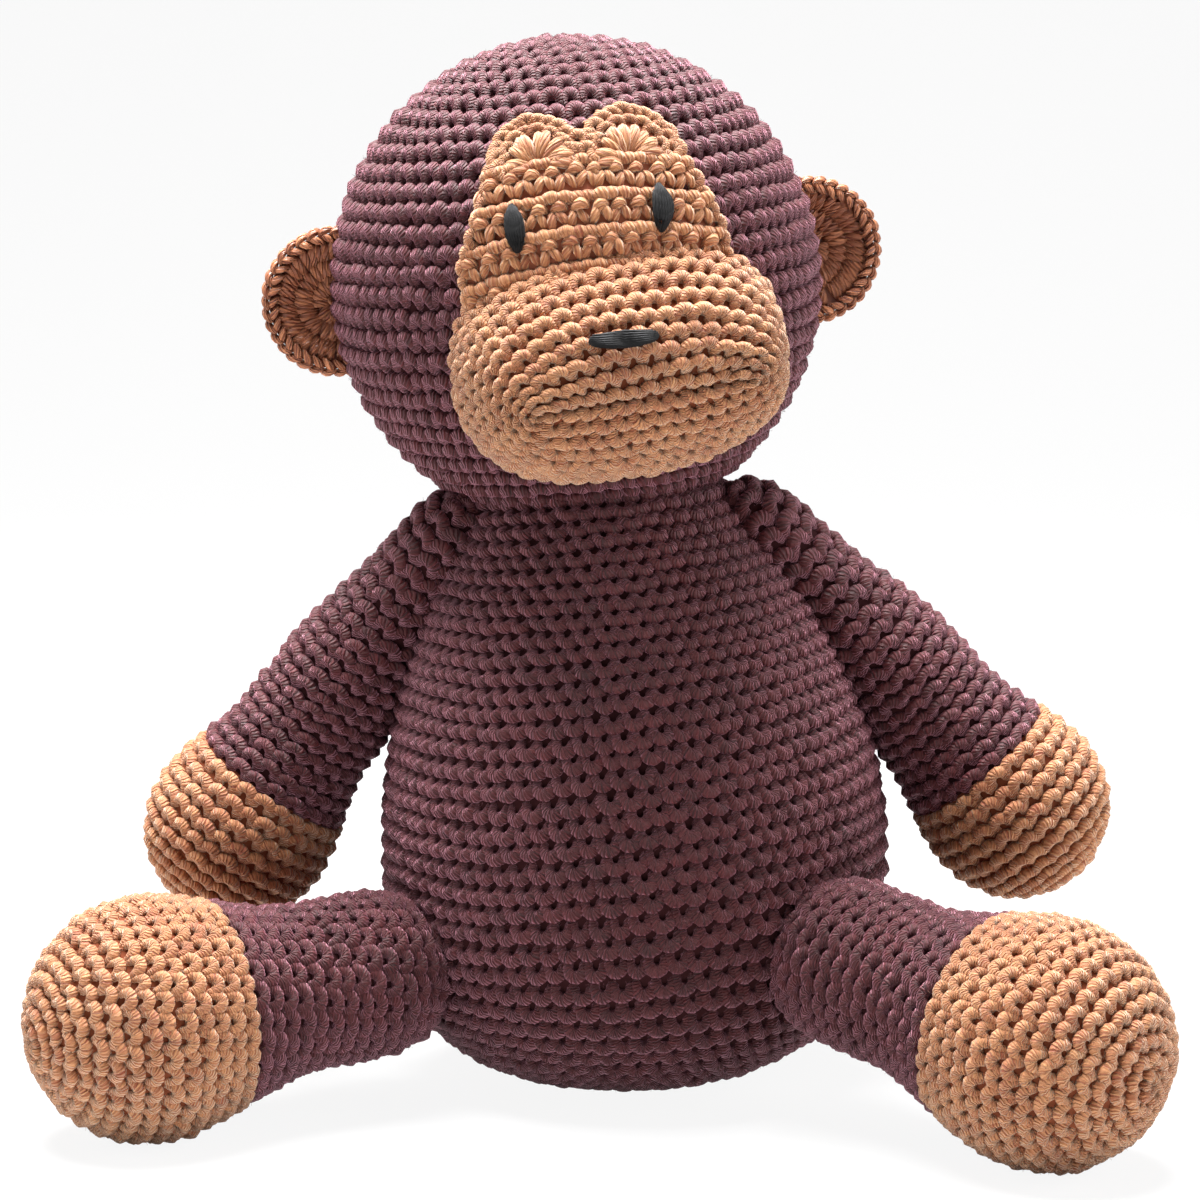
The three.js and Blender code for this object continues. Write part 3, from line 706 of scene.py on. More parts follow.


# %% [markdown]
# Each piece rides the body that carries it: it hangs from an empty for that body, and the imported
# part that it stands for is hidden. A piece that crosses a seam rides no body and stays where it is made.
# One helper does all of it, so that no piece goes without a part.


# %% Placing a piece
def dress(piece, slot, node, body=None, blend=None):
    """Hangs the piece on its body, or leaves it where it is made if it crosses a seam, and hides the part
    that it stands for. slot is not used.
    """
    if blend:
        start, end = (tuple(float(c) for c in np.array(p) * MM) for p in blend[2:])
        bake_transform(piece)
    else:
        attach(piece, body)
    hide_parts(node)


# %% [markdown]
# A form can become a mesh too, as a closed bag: its rows give the faces, and a fan of triangles closes
# each end. The stuffing is drawn as such a bag, and so is the cloth that is blown up next. A remeshed
# solid would do as well, but it would no longer know its rows.


# %% Bags from forms
def form_faces(rows, around):
    """The faces of a form, with a fan of triangles at each end."""
    at = lambda i, k: 1 + (i - 1) * around + k % around
    last = 1 + (rows - 2) * around
    faces = []
    for k in range(around):
        faces.append((0, at(1, k), at(1, k + 1)))
        faces.append((last, at(rows - 2, k + 1), at(rows - 2, k)))
        for i in range(1, rows - 2):
            faces.append((at(i, k), at(i + 1, k), at(i + 1, k + 1), at(i, k + 1)))
    return faces


def form_corners(rows):
    return np.concatenate([rows[:1].mean(1), rows[1:-1].reshape(-1, 3), rows[-1:].mean(1)])


def mesh_object(name, corners, faces, material=None):
    mesh = bpy.data.meshes.new(name)
    mesh.from_pydata([tuple(c) for c in corners * MM], [], [face[::-1] for face in faces])
    mesh.shade_smooth()
    if material:
        mesh.materials.append(material)
    piece = bpy.data.objects.new(name, mesh)
    bpy.context.scene.collection.objects.link(piece)
    return piece


# %% [markdown] The stuffing pushes every cover outwards. Each form is blown up a little as cloth, with
# its sewn edge held, and the small bulge it gains is kept. The bag has even faces already, so it needs
# no remesh before the cloth runs.

# %% Stuffing with cloth
bulge_limit = 1.3
cloth_frames = 16
bag_pressure = 4.0
bag_stiffness = 12
bag_bending = 0.8
bag_mass = 0.2
cloth_quality = 4


def blow_up(bag, held):
    """Runs the cloth on a bag whose held corners stay, and gives where its corners end."""
    pins = bag.vertex_groups.new(name="sewn")
    pins.add([int(i) for i in np.nonzero(held)[0]], 1.0, "REPLACE")
    cloth = bag.modifiers.new("Cloth", "CLOTH")
    cloth.settings.quality = cloth_quality
    cloth.settings.mass = bag_mass
    cloth.settings.tension_stiffness = bag_stiffness
    cloth.settings.compression_stiffness = bag_stiffness
    cloth.settings.bending_stiffness = bag_bending
    cloth.settings.use_pressure = True
    cloth.settings.uniform_pressure_force = bag_pressure
    cloth.settings.vertex_group_mass = "sewn"
    cloth.settings.effector_weights.gravity = 0
    cloth.collision_settings.use_collision = False
    cloth.point_cache.frame_start = 1
    cloth.point_cache.frame_end = cloth_frames
    for step in range(1, cloth_frames + 1):
        bpy.context.scene.frame_set(step)
    blown = bag.evaluated_get(bpy.context.evaluated_depsgraph_get()).data
    return np.array([v.co for v in blown.vertices]) / MM


def stuff(form, held):
    """Blows the form up as cloth. held says which places stay, from their points."""
    rows, around = form.rows.shape[:2]
    corners = form_corners(form.rows)
    bag = mesh_object(form.name + "_bag", corners, form_faces(rows, around))
    moved = blow_up(bag, held(corners)) - corners
    bpy.data.objects.remove(bag)
    bpy.context.scene.frame_set(1)
    size = np.linalg.norm(moved, axis=1)
    moved *= (bulge_limit * np.tanh(size / bulge_limit) / np.maximum(size, 1e-6))[:, None]
    form.rows[1:-1] += moved[1:-1].reshape(rows - 2, around, 3)
    form.rows[0] += moved[0]
    form.rows[-1] += moved[-1]
    form.normals = form.find_normals()
    print(form.name, "bulges", round(float(size.max()), 2), "mm, kept at most", bulge_limit)


# %% [markdown]
# The stuffing itself is a closed skin just under the stitches. It is the form once more, swollen a
# little way up between them, and keeps the holes from showing daylight. A solid lump of fibres would
# look the same through such small holes. In a hand or a foot it takes the tan shade.

# %% Stuffing under a cover
stuffing_swell = 0.5  # from the base of the stitches up between them


def filling_piece(name, form, material, tip_material=None, tip_rows=0, rows=slice(None)):
    """The stuffing under a cover: some rows of the form, or all, as one closed skin."""
    inner = (form.rows + form.normals * stuffing_swell)[rows]
    count, around = inner.shape[:2]
    piece = mesh_object(name, form_corners(inner), form_faces(count, around), material)
    if tip_material:
        piece.data.materials.append(tip_material)
        for face in piece.data.polygons:
            face.material_index = int(max(face.vertices) <= tip_rows * around)
    print(name, len(piece.data.polygons), "faces")
    return piece


# %% [markdown]
# The body is a pear on a round bowl, whose spine bows a little to the side. The spin operator would
# make it upright, so it is worked out from a formula for the radius and one for the spine.

# %% Shape of the body
belly_radius = 63.5
belly_height = 58
bowl_power = 2.8
neck_radius = 31
neck_height = 150
belly_sway = 2.8
neck_sway = -6
floor_cut = 0.5
pear_height = neck_height - belly_height
pear_taper = belly_radius - neck_radius
pear_tip = neck_height + pear_height * neck_radius / (2 * pear_taper)
sway_bend = (neck_sway / neck_height - belly_sway / belly_height) / pear_height
sway_slope = belly_sway / belly_height - sway_bend * belly_height


def smooth_step(value, start, end):
    t = np.clip((value - start) / (end - start), 0, 1)
    return t * t * (3 - 2 * t)


def sway(z):
    return sway_slope * z + sway_bend * z**2


def body_radius(z):
    z = np.asarray(z, float)
    rise = np.clip((belly_height - z) / (belly_height + floor_cut), 0, 1)
    bowl = belly_radius * (1 - rise**bowl_power) ** (1 / bowl_power)
    share = np.clip((z - belly_height) / pear_height, 0, 1)
    pear = neck_radius + pear_taper * (1 - share**2)
    cone = neck_radius * np.clip((pear_tip - z) / (pear_tip - neck_height), 0, 1)
    return np.where(z < belly_height, bowl, np.where(z < neck_height, pear, cone))


def depth_in_body(p):
    """How far points lie inside the body, level with them."""
    return body_radius(p[..., 2]) - np.hypot(p[..., 0] - sway(p[..., 2]), p[..., 1])


print("body radius at the neck and the belly", body_radius([neck_height, belly_height]))

# %% [markdown]
# The rounds run down from the neck to the floor. They are finer at the neck, where the yarn was pulled
# tighter. The outline is first cut into many fine steps, which are then spaced by the height of a round.

# %% Rounds of the body
neck_round, round_growth = 4.05, 0.85  # height of a round at the neck, and how much more at the belly
full_round_height, neck_round_height = 75, 125  # the rounds grow between these two heights
skin = 1.9  # from the outside of a cover to the base of its stitches
fine_steps = 200
bowl_spread = 0.7  # spreads the fine steps towards the floor

pear_fine = np.linspace(pear_tip, belly_height, fine_steps)
bowl_fine = belly_height * np.cos(np.linspace(0, np.pi / 2, fine_steps)) ** bowl_spread
body_fine = [(float(body_radius(z)), z) for z in (*pear_fine, *bowl_fine)]
body_fine = np.array(body_fine + [(0, 0)])
grown = smooth_step(-body_fine[:, 1], -neck_round_height, -full_round_height)
body_heights = neck_round + round_growth * grown
body_profile = even_rows(body_fine, body_heights / rows_in_round)
body_rows = [[(r * np.cos(a) + sway(z), r * np.sin(a), z) for a in turns] for r, z in body_profile]
body_form = Form(body_rows, "body")
body_form.rows -= body_form.normals * skin
body_rounds = (len(body_profile) - 1) // rows_in_round
print("body rounds", body_rounds)

# %% [markdown]
# The head is a ball, worked from its underside up to the crown, and set on the neck a little askew.
# Its rounds are circles of latitude, which a sphere primitive has too, but there their number can't be
# set from the height of a stitch.

# %% Head form
head_centre = pivot("neck_nod")
head_radius = 60.5
head_round_height = 5.0


def turned(x_degrees, y_degrees, z_degrees):
    """A turn about x, then z, then y, as a matrix."""
    about = lambda angle, axis: np.array(Matrix.Rotation(math.radians(angle), 3, axis))
    return about(y_degrees, "Y") @ about(z_degrees, "Z") @ about(x_degrees, "X")


head_turn = turned(5, -6, 8)


def from_head(points):
    """Points of the head's own frame, in the frame of the toy."""
    return np.asarray(points) @ head_turn.T + head_centre


def to_head(points):
    return (np.asarray(points) - head_centre) @ head_turn


def out_of_head(p):
    return np.linalg.norm(p - head_centre, axis=-1) - head_radius


head_rounds = round(np.pi * (head_radius - skin) / head_round_height)
rises = np.linspace(-np.pi / 2, np.pi / 2, head_rounds * rows_in_round + 1)
ball = np.array([[(np.cos(b) * np.cos(a), np.cos(b) * np.sin(a), np.sin(b)) for a in turns] for b in rises])
head_form = Form(from_head((head_radius - skin) * ball), "head")
print("head", head_centre, "rounds", head_rounds)

# %% [markdown]
# The muzzle is an oval cup that starts from a straight chain of stitches across its front. Its rounds
# go round the chain, with squarish corners, and widen towards the head, where the cup is tucked in. A
# scaled sphere would start from a point and be too round at its corners.

# %% Shape of the muzzle
muzzle_width, muzzle_height, muzzle_tip_width, muzzle_depth = 39, 28.2, 26, 34
muzzle_power = 2.5
muzzle_tuck = 14
muzzle_turn = turned(11, -3, 3)
muzzle_place = np.array([1.5, -45.5, -12.9])


def rounded(value):
    return np.sign(value) * np.abs(value) ** (2 / muzzle_power)


def muzzle_point(angle, slope, back=0.0):
    """Points of one round. The slope is a quarter turn at the tip and 0 at the rim."""
    wide = muzzle_tip_width + (muzzle_width - muzzle_tip_width) * np.cos(slope)
    high = muzzle_height * np.cos(slope)
    x, z = wide * rounded(np.cos(angle)), high * rounded(np.sin(angle))
    return np.stack([x, np.full_like(x, back - muzzle_depth * np.sin(slope)), z], axis=-1)


def from_muzzle(points):
    """Points of the muzzle's own frame, in the frame of the toy."""
    return from_head(np.asarray(points) @ muzzle_turn.T + muzzle_place)


def out_of_muzzle(p):
    """Above 0 outside the muzzle's cup, in shares of its size."""
    local = (to_head(p) - muzzle_place) @ muzzle_turn
    share = np.abs(local[:, 0] / muzzle_width) ** muzzle_power
    share = share + np.abs(local[:, 2] / muzzle_height) ** muzzle_power
    return np.where(local[:, 1] < muzzle_tuck, share - 1, 1)


print("middle of the muzzle's rim", from_muzzle([0.0, 0.0, 0.0]))

# %% [markdown]
# The rounds of the muzzle grow from its tip to its rim, and three more are tucked in. The formula sets
# its points closer at the corners, so each ring is stepped again to give every stitch the same width.

# %% Rounds of the muzzle
tip_round, rim_round = 4.1, 5.3
tuck_rounds = 3
fine_places = 720


def even_ring(ring):
    """The ring again, with even steps between its points, starting at the same place."""
    closed = np.vstack([ring, ring[:1]])
    run = np.concatenate([[0], np.cumsum(np.linalg.norm(np.diff(closed, axis=0), axis=1))])
    places = np.linspace(0, run[-1], places_around, endpoint=False)
    return np.stack([np.interp(places, run, closed[:, i]) for i in range(3)], axis=1)


fine_turns = np.pi / 2 + np.linspace(0, 2 * np.pi, fine_places, endpoint=False)
slopes = np.linspace(np.pi / 2, 0, fine_steps)
arc = np.stack([slopes, muzzle_height * np.cos(slopes), muzzle_depth * np.sin(slopes)], axis=1)
arc_heights = np.linspace(tip_round, rim_round, len(arc))
round_slopes = even_rows(arc, arc_heights / rows_in_round)[:, 0]
muzzle_rows = [even_ring(muzzle_point(fine_turns, slope)) for slope in round_slopes]
for back in np.linspace(0, muzzle_tuck, tuck_rounds * rows_in_round + 1)[1:]:
    muzzle_rows.append(even_ring(muzzle_point(fine_turns, 0.0, back)))
muzzle_form = Form(from_muzzle(muzzle_rows), "muzzle")
muzzle_form.rows -= muzzle_form.normals * skin
muzzle_rounds = (len(muzzle_rows) - 1) // rows_in_round
print("muzzle rounds", muzzle_rounds)

# %% [markdown]
# Arms and legs are stuffed tubes, worked from the hand or the sole towards the body. The line
# through the middle of an arm bends in towards the neck at its upper end, where it is sewn on. All
# four are one kind of form, so only the measures differ.

# %% Measures of arms and legs
arm_measures = {
    "root": 11.5,  # radius at the body
    "full": 17.5,  # radius of the tube, reached at full_at
    "full_at": 40,
    "widen_at": 50,  # from here it widens to the end, a round tip of radius end that starts at reach
    "end": 23.7,
    "reach": 82,
    "lean_from": 50,  # nearer to the body than this, the middle leans
    "colour": 13.5,  # from reach back to the change of colour
    "tip_height": 4.4,
    "tube_height": 3.85,
    "bends": (-6, 8, 26),  # places along the limb: where the root starts, where the tube starts, and one further out
}
leg_measures = {
    "root": 20,
    "full": 20,
    "full_at": 1,
    "widen_at": 18,
    "end": 28.8,
    "reach": 57.8,
    "lean_from": 1,
    "colour": 17,
    "tip_height": 4.3,
    "tube_height": 3.95,
    "bends": (-6, 8, 22),
}
print("arm", arm_measures["reach"] + arm_measures["end"], "mm long, leg",
      leg_measures["reach"] + leg_measures["end"], "mm long")

# %% [markdown]
# A limb is measured along its middle line, from the body outwards. Its rings stand square to that
# line, so it bends without a pinch. A curve with a bevel and a taper would bend as well, but it wouldn't
# tell how far along the limb a round lies, which says where the yarn changes and where the limb bends.

# %% Limb forms
tip_steps, root_steps = 80, 60
depth_steps = 80


class Limb:
    """A limb: where it starts, which way it points, how it leans, and its measures along its length."""

    def __init__(self, name, joint, way, lean, measures):
        self.name = name
        self.start = pivot(joint)
        self.way = unit(way)
        self.lean = np.array(lean, float)
        vars(self).update(measures)  # so that root becomes self.root, and so on
        self.change = self.reach - self.colour

    def radius(self, s):
        s = np.asarray(s, float)
        tube = self.root + (self.full - self.root) * smooth_step(s, 0, self.full_at)
        tube = tube + (self.end - self.full) * smooth_step(s, self.widen_at, self.reach)
        tip = np.sqrt(np.clip(self.end**2 - (s - self.reach) ** 2, 0, None))
        root = np.sqrt(np.clip(self.root**2 - s**2, 0, None))
        return np.where(s > self.reach, tip, np.where(s < 0, root, tube))

    def middle(self, s):
        s = np.asarray(s, float)[..., None]
        share = np.clip((self.lean_from - s) / (self.lean_from + self.root), 0, None)
        return self.start + self.way * s + self.lean * share**2

    def form(self):
        """The limb's form. It also notes how far along the limb each of its rows lies."""
        tip = self.reach + self.end * np.cos(np.linspace(0, np.pi / 2, tip_steps))
        root = -self.root * np.sin(np.linspace(0, np.pi / 2, root_steps))
        fine = np.concatenate([tip, np.linspace(self.reach, 0, fine_steps), root])
        heights = np.where(fine > self.change, self.tip_height, self.tube_height)
        profile = even_rows(np.stack([self.radius(fine), fine], axis=1), heights / rows_in_round)
        self.places = profile[:, 1]
        self.rounds = (len(profile) - 1) // rows_in_round
        middle = self.middle(self.places)
        ahead = unit(np.gradient(middle, axis=0))
        across = unit(np.cross(ahead, [0.0, 1.0, 0.0]))
        up = np.cross(across, ahead)
        ring = np.cos(turns)[None, :, None] * across[:, None] + np.sin(turns)[None, :, None] * up[:, None]
        form = Form(middle[:, None] + profile[:, :1, None] * ring, self.name)
        form.rows -= form.normals * skin
        return form

    def depth(self, points):
        """How far points lie inside the limb."""
        s = np.linspace(-self.root, self.reach + self.end, depth_steps)
        away = np.linalg.norm(points[..., None, :] - self.middle(s), axis=-1)
        return (self.radius(s) - away).max(-1)


# %% [markdown]
# Each limb starts at its joint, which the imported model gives, and has its own way and lean, because the
# toy doesn't sit quite evenly. Mirrored limbs would be quicker, but the photograph shows them unequal.

# %% The four limbs
arms = {
    "right": Limb("right_arm", "right_arm_raise", (-0.5807, 0, -0.8141), (8, -16, 9), arm_measures),
    "left": Limb("left_arm", "left_arm_raise", (0.6626, 0, -0.749), (-13, -13, 11), arm_measures),
}
legs = {
    "right": Limb("right_leg", "right_leg_spread", (-0.874, -0.4805, -0.0727), (0, 0, 0), leg_measures),
    "left": Limb("left_leg", "left_leg_spread", (0.7233, -0.6698, -0.1678), (0, 0, 0), leg_measures),
}
limbs = [*arms.values(), *legs.values()]
limb_forms = {limb.name: limb.form() for limb in limbs}
print("limb rounds", {limb.name: limb.rounds for limb in limbs})

# %% [markdown]
# Each form is now stuffed. Where it is sewn to another it is held: the body at the neck and on the
# floor, the head and the limbs where they meet the body, and the muzzle where it meets the head.

# %% Stuffing the forms
held_around = 2  # a form is held this far around the one that it is sewn to
held_over_floor = 3
held_at_muzzle = 1


def at_body(p):
    return depth_in_body(p) > -held_around


stuff(body_form, lambda p: (out_of_head(p) < held_around) | (p[:, 2] < held_over_floor))
stuff(head_form, at_body)
stuff(muzzle_form, lambda p: out_of_head(p) < held_at_muzzle)
for limb in limbs:
    stuff(limb_forms[limb.name], at_body)
print("stuffed", 3 + len(limbs), "forms, cloth", "run")

# %% [markdown]
# Now the covers are crocheted. Stitches that another piece hides are left out, with a margin that
# keeps the edges covered. The rounds of the body climb to one side, as the photograph shows, and lie
# level near the floor. A bump map on a smooth bag would be lighter, but the outline of this toy is made
# of its stitches.

# %% Body and head covers
row_kink, row_slope = -33, 0.15  # the rounds rise by row_slope beyond x = row_kink
sloping_round = 4.75  # height of one round where they slope
level_below = 50  # the slope fades from this height down to the floor
body_stitch, head_stitch = 4.7, 4.2
body_in_head, body_in_limb = 8, 6  # how far its stitches go on inside these, out of sight
head_in_muzzle = 0.25  # the same for the head, as a share of the muzzle


def body_slope(p):
    """The shift of the rounds at places p. Up is negative, because rounds are counted from the neck."""
    rise = row_slope * np.maximum(p[:, 0] - row_kink, 0) / sloping_round
    return -rise * np.clip(p[:, 2] / level_below, 0, 1)


def body_shows(p):
    outside_limbs = np.all([limb.depth(p) < body_in_limb for limb in limbs], axis=0)
    return (out_of_head(p) > -body_in_head) & outside_limbs


def head_shows(p):
    return out_of_muzzle(p) > -head_in_muzzle


body_layers = lay_rounds(
    body_form, range(body_rounds), body_shows, seed=11, width=body_stitch, lean=-0.4, slope=body_slope)
body_cover = make_mesh("body_cover_stitches", body_layers, brown_yarn)
dress(body_cover, "brown_yarn", "body_cover", "torso")
body_filling = filling_piece("body_stuffing", body_form, brown_filling)
dress(body_filling, "fibre_filling", "body_filling", "torso")

head_layers = lay_rounds(
    head_form, range(head_rounds), head_shows, seed=12, width=head_stitch, lean=-0.15)
head_cover = make_mesh("head_cover_stitches", head_layers, brown_yarn)
dress(head_cover, "brown_yarn", "head_cover", "head")
head_filling = filling_piece("head_stuffing", head_form, brown_filling)
dress(head_filling, "fibre_filling", "head_filling", "head")

# %% [markdown]
# The muzzle is tan. Its stitches stop just inside the head, and its stuffing ends just behind the
# rim of the cup, because the tucked part lies inside the head. It could be one piece with the head,
# but on the real toy it is a cup of its own, sewn on.

# %% Muzzle cover
muzzle_stitch = 4.15
muzzle_in_head = 1.5


def muzzle_shows(p):
    return out_of_head(p) > -muzzle_in_head


muzzle_layers = lay_rounds(
    muzzle_form, range(muzzle_rounds), muzzle_shows, seed=13, width=muzzle_stitch, lean=0.1)
muzzle_cover = make_mesh("muzzle_cover_stitches", muzzle_layers, tan_yarn)
dress(muzzle_cover, "tan_yarn", "muzzle_cover", "head")
cup_rows = slice(0, len(round_slopes) + 1)
muzzle_filling = filling_piece("muzzle_stuffing", muzzle_form, tan_filling, rows=cup_rows)
dress(muzzle_filling, "fibre_filling", "muzzle_filling", "head")

# %% [markdown]
# An arm or a leg is one crocheted tube with a change of yarn before the hand or the foot. The hand or
# foot rides the body of the limb. The tube, and its root between the body and the socket of the joint,
# are pieces of their own that ride no body and stay where they are made.

# %% Arms and legs
hand_stitch, sleeve_stitch, foot_stitch, leg_stitch = 4.7, 5.3, 4.25, 5.4
limb_in_body, limb_in_head = 9, 3
yarns = {"brown_yarn": brown_yarn, "tan_yarn": tan_yarn, "ear_yarn": ear_yarn}  # by their slots


def limb_shows(p):
    return (depth_in_body(p) < limb_in_body) & (out_of_head(p) > -limb_in_head)


def rounds_between(limb, low, high):
    """The rounds of a limb whose middles lie between two places along it."""
    rows = (np.arange(limb.rounds) + 0.5) * rows_in_round
    middles = np.interp(rows, np.arange(len(limb.places)), limb.places)
    return [i for i in range(limb.rounds) if low < middles[i] <= high]


def make_limb(limb, tip, socket, tube_width, tip_width, seed):
    """A limb in three pieces of cover and two of stuffing."""
    name, form = limb.name, limb_forms[limb.name]
    root_end = limb.bends[1]
    points = [limb.middle(s) for s in limb.bends]
    root_bend = ("torso", socket, points[0], points[1])
    tube_bend = (socket, name, points[1], points[2])
    pieces = (
        (tip, tip + "_cover", limb.change, math.inf, tip_width, "tan_yarn", None),
        (name, name + "_cover", root_end, limb.change, tube_width, "brown_yarn", tube_bend),
        (name + "_root", name + "_cover", -math.inf, root_end, tube_width, "brown_yarn", root_bend),
    )
    for i, (label, node, low, high, width, slot, bend) in enumerate(pieces):
        layers = lay_rounds(form, rounds_between(limb, low, high), limb_shows, seed + i, width)
        cover = make_mesh(label + "_stitches", layers, yarns[slot])
        dress(cover, slot, node, name, bend)
    tip_rows = int(np.sum(limb.places > limb.change))
    end = int(np.sum(limb.places > root_end))
    filling = filling_piece(
        name + "_stuffing", form, brown_filling, tan_filling, tip_rows, rows=slice(0, end + 2))
    dress(filling, "fibre_filling", name + "_filling", blend=tube_bend)
    filling = filling_piece(name + "_root_stuffing", form, brown_filling, rows=slice(end - 1, None))
    dress(filling, "fibre_filling", name + "_filling", blend=root_bend)


for side in ("right", "left"):
    make_limb(arms[side], side + "_hand", side + "_shoulder", sleeve_stitch, hand_stitch, seed=21)
    make_limb(legs[side], side + "_foot", side + "_hip", leg_stitch, foot_stitch, seed=25)

# %% [markdown]
# Some stitches do not lie in rounds. The face patch is worked in turned rows of ropes, beads and
# splayed legs, with fans in its brows, the ears in half rounds of tufts with a braided rim of leaves,
# and the seams are sewn. Each of these is a short tube of yarn or a pair of tubes, modelled once.


# %% Single stitches
lengthwise_twist = 0.25  # how much of the usual twist is left where plies run along a stitch


def lengthwise(one, plies=4):
    """The same template with its plies running along it."""
    return {**one, "uv": one["uv"] * (lengthwise_twist, plies)}


def joined(*tubes):
    """Several tubes as one template."""
    corners, faces, uv = [], [], []
    for one in tubes:
        start = sum(len(c) for c in corners)
        corners.append(one["corners"])
        faces += [[start + i for i in face] for face in one["faces"]]
        uv.append(one["uv"])
    return {"corners": np.concatenate(corners), "faces": faces, "uv": np.concatenate(uv)}


def pair(points):
    """Two tubes side by side, one the mirror image of the other."""
    lines = ([(side * x, y, z, r) for x, y, z, r in points] for side in (-1, 1))
    return joined(*(lengthwise(yarn_tube(line, 5), 3) for line in lines))


tuft_height = 5.6
bead = lengthwise(yarn_tube(
    [(-2.3, -0.7, -0.4, 0.7), (-1.3, -0.1, 0.7, 1.15), (0.1, 0.35, 1.2, 1.4),
     (1.4, 0.25, 0.7, 1.15), (2.3, -0.2, -0.4, 0.7)], 7, 7))
rope = yarn_tube(
    [(-1.9, -0.15, -0.2, 1.1), (-0.9, 0, 0.6, 1.5), (0.1, 0.1, 0.85, 1.7),
     (1.0, 0.05, 0.6, 1.5), (1.9, 0.15, -0.2, 1.1)], 7, 7)
leg_pair = pair([(0.4, 3.5, 0.2, 0.8), (0.9, 2.4, 0.8, 1.15), (1.55, 1.1, 0.7, 1.2), (2.0, -0.2, -0.6, 0.8)])
fan = lengthwise(yarn_tube(
    [(0, 0, -0.4, 0.6), (0, 1.8, 0.6, 1.0), (0, 4.2, 1.1, 1.3), (0, 6.0, 0.6, 0.9)], 6))
tuft = pair([(0.6, -0.3, -0.6, 0.75), (0.765, 1.68, 0.4, 1.0625), (0.985, 3.92, 0.8, 1.25),
             (1.15, tuft_height, 0.3, 0.875)])
leaf = lengthwise(yarn_tube(
    [(0, -2.3, -0.3, 0.35), (0, -1.2, 0.3, 0.8), (0, 0, 0.5, 1.0), (0, 1.2, 0.3, 0.8),
     (0, 2.3, -0.3, 0.35)], 6), 3)
sewn = yarn_tube(
    [(0, -1.6, -0.8, 0.45), (0, -0.8, 0.3, 0.62), (0, 0, 0.55, 0.68), (0, 0.8, 0.3, 0.62),
     (0, 1.6, -0.8, 0.45)], 6)
single_stitches = (bead, rope, leg_pair, fan, tuft, leaf, sewn)
print("single stitches, corners of each", [len(one["corners"]) for one in single_stitches])

# %% [markdown]
# The face patch lies on the front of the ball. Its outline has straight sides and two round brows of
# unequal width. It is drawn flat, with x to the toy's left and z up, and every place is then carried
# onto the ball. A flat mesh could be shrunk onto the ball instead, which would squash its stitches.

# %% Outline of the face patch
patch_base = 61.8  # from the middle of the head to the base of the patch
face_turn = turned(0, -3.5, 0)
face_shift = np.array([-1.2, 0, 0])
patch_side_top, patch_bottom = 14, -1
patch_width = {-1: 32.4, 1: 31.6}  # -1 is the toy's right side, 1 its left
brow_radius = {-1: 11.9, 1: 13.2}
brow_spread = {-1: 9.3, 1: 11.7}
brow_height = {-1: 33.8, 1: 32.0}
brow_places = 40
shoulder = math.radians(20)


def on_face(x, z, lift=0.0):
    """A place on the patch, lift above its base, and the direction out of it."""
    x, z = np.asarray(x, float), np.asarray(z, float)
    base = np.stack([x, -np.sqrt(patch_base**2 - x**2 - z**2), z], axis=-1)
    out = base / patch_base
    local = base + out * np.asarray(lift, float)[..., None] + face_shift
    return from_head(local @ face_turn.T), unit(out @ face_turn.T @ head_turn.T)


def face_way(x, z, dx, dz):
    """The direction on the patch that leads from (x, z) along (dx, dz)."""
    step = 0.05
    return on_face(x + dx * step, z + dz * step)[0] - on_face(x - dx * step, z - dz * step)[0]


def brow_point(side, angle, radius):
    """A place on a round brow. The angle grows from the middle of the face, over the top, outwards."""
    x = side * (brow_spread[side] - radius * np.cos(angle))
    return x, brow_height[side] + radius * np.sin(angle)


def half_width(side, z):
    """How far the patch reaches to one side, below its brows."""
    x, top = brow_point(side, np.pi - shoulder, brow_radius[side])
    share = np.clip((z - patch_side_top) / (top - patch_side_top), 0, 1)
    return patch_width[side] + (abs(x) - patch_width[side]) * share


def half_outline(side):
    """One half of the outline: from the notch between the brows over one brow and down its side."""
    notch = math.acos(brow_spread[side] / brow_radius[side])
    brow = brow_point(side, np.linspace(notch, np.pi - shoulder, brow_places), brow_radius[side])
    corner = [(side * patch_width[side], z) for z in (patch_side_top, patch_bottom)]
    return np.vstack([np.stack(brow, axis=1), corner])


outline = [half_outline(side) for side in (-1, 1)]
whole_outline = np.vstack([outline[0][::-1], outline[1]])
print("patch outline", len(whole_outline), "points")

# %% [markdown]
# The patch is worked back and forth, so its rows differ from rounds: a rope of yarn, a line of beads
# under it and pairs of splayed legs below those, again and again. They are set in five such bands, higher
# in the middle and a little askew, as they lie on the real toy. A bump map would be lighter, but ropes as
# thick as these cast shadows of their own.

# %% Rows of the face patch
patch_bands = 5
first_row, band_height = 33.4, 7.8
bead_drop, leg_drop = 2.2, 5.8  # below the rope of their band
row_arch, row_tilt = 4.6, -0.075
row_pitch = 4.6
row_start = 0.25  # of a stitch, from the edge of the row to its first place
height_change, side_change = 0.15, 0.2
row_wobble = 0.12
width_taken_at = 26  # the width of a row is that of the patch at its height here
patch_layers = []


def face_row(one, level, scales, seed, offset=0.0, inset=2.0, pitch=row_pitch):
    """A row of stitches across the patch, higher in the middle and a little askew."""
    row = lambda x: level - row_arch * (x / patch_width[1]) ** 2 + row_tilt * x
    left, right = (side * (half_width(side, row(side * width_taken_at)) - inset) for side in (-1, 1))
    count = round((right - left) / pitch)
    x = left + (np.arange(count) + row_start + offset) * (right - left) / count
    draw = np.random.default_rng(seed)
    z = row(x) + draw.normal(0, height_change, count)
    moved_x = x + draw.normal(0, side_change, count)
    places, outs = on_face(moved_x, z, draw.normal(0, height_change, count))
    ups = face_way(x, z, 0, 1)
    patch_layers.append(set_stitches(one, places, ups, outs, scales, seed, row_wobble))


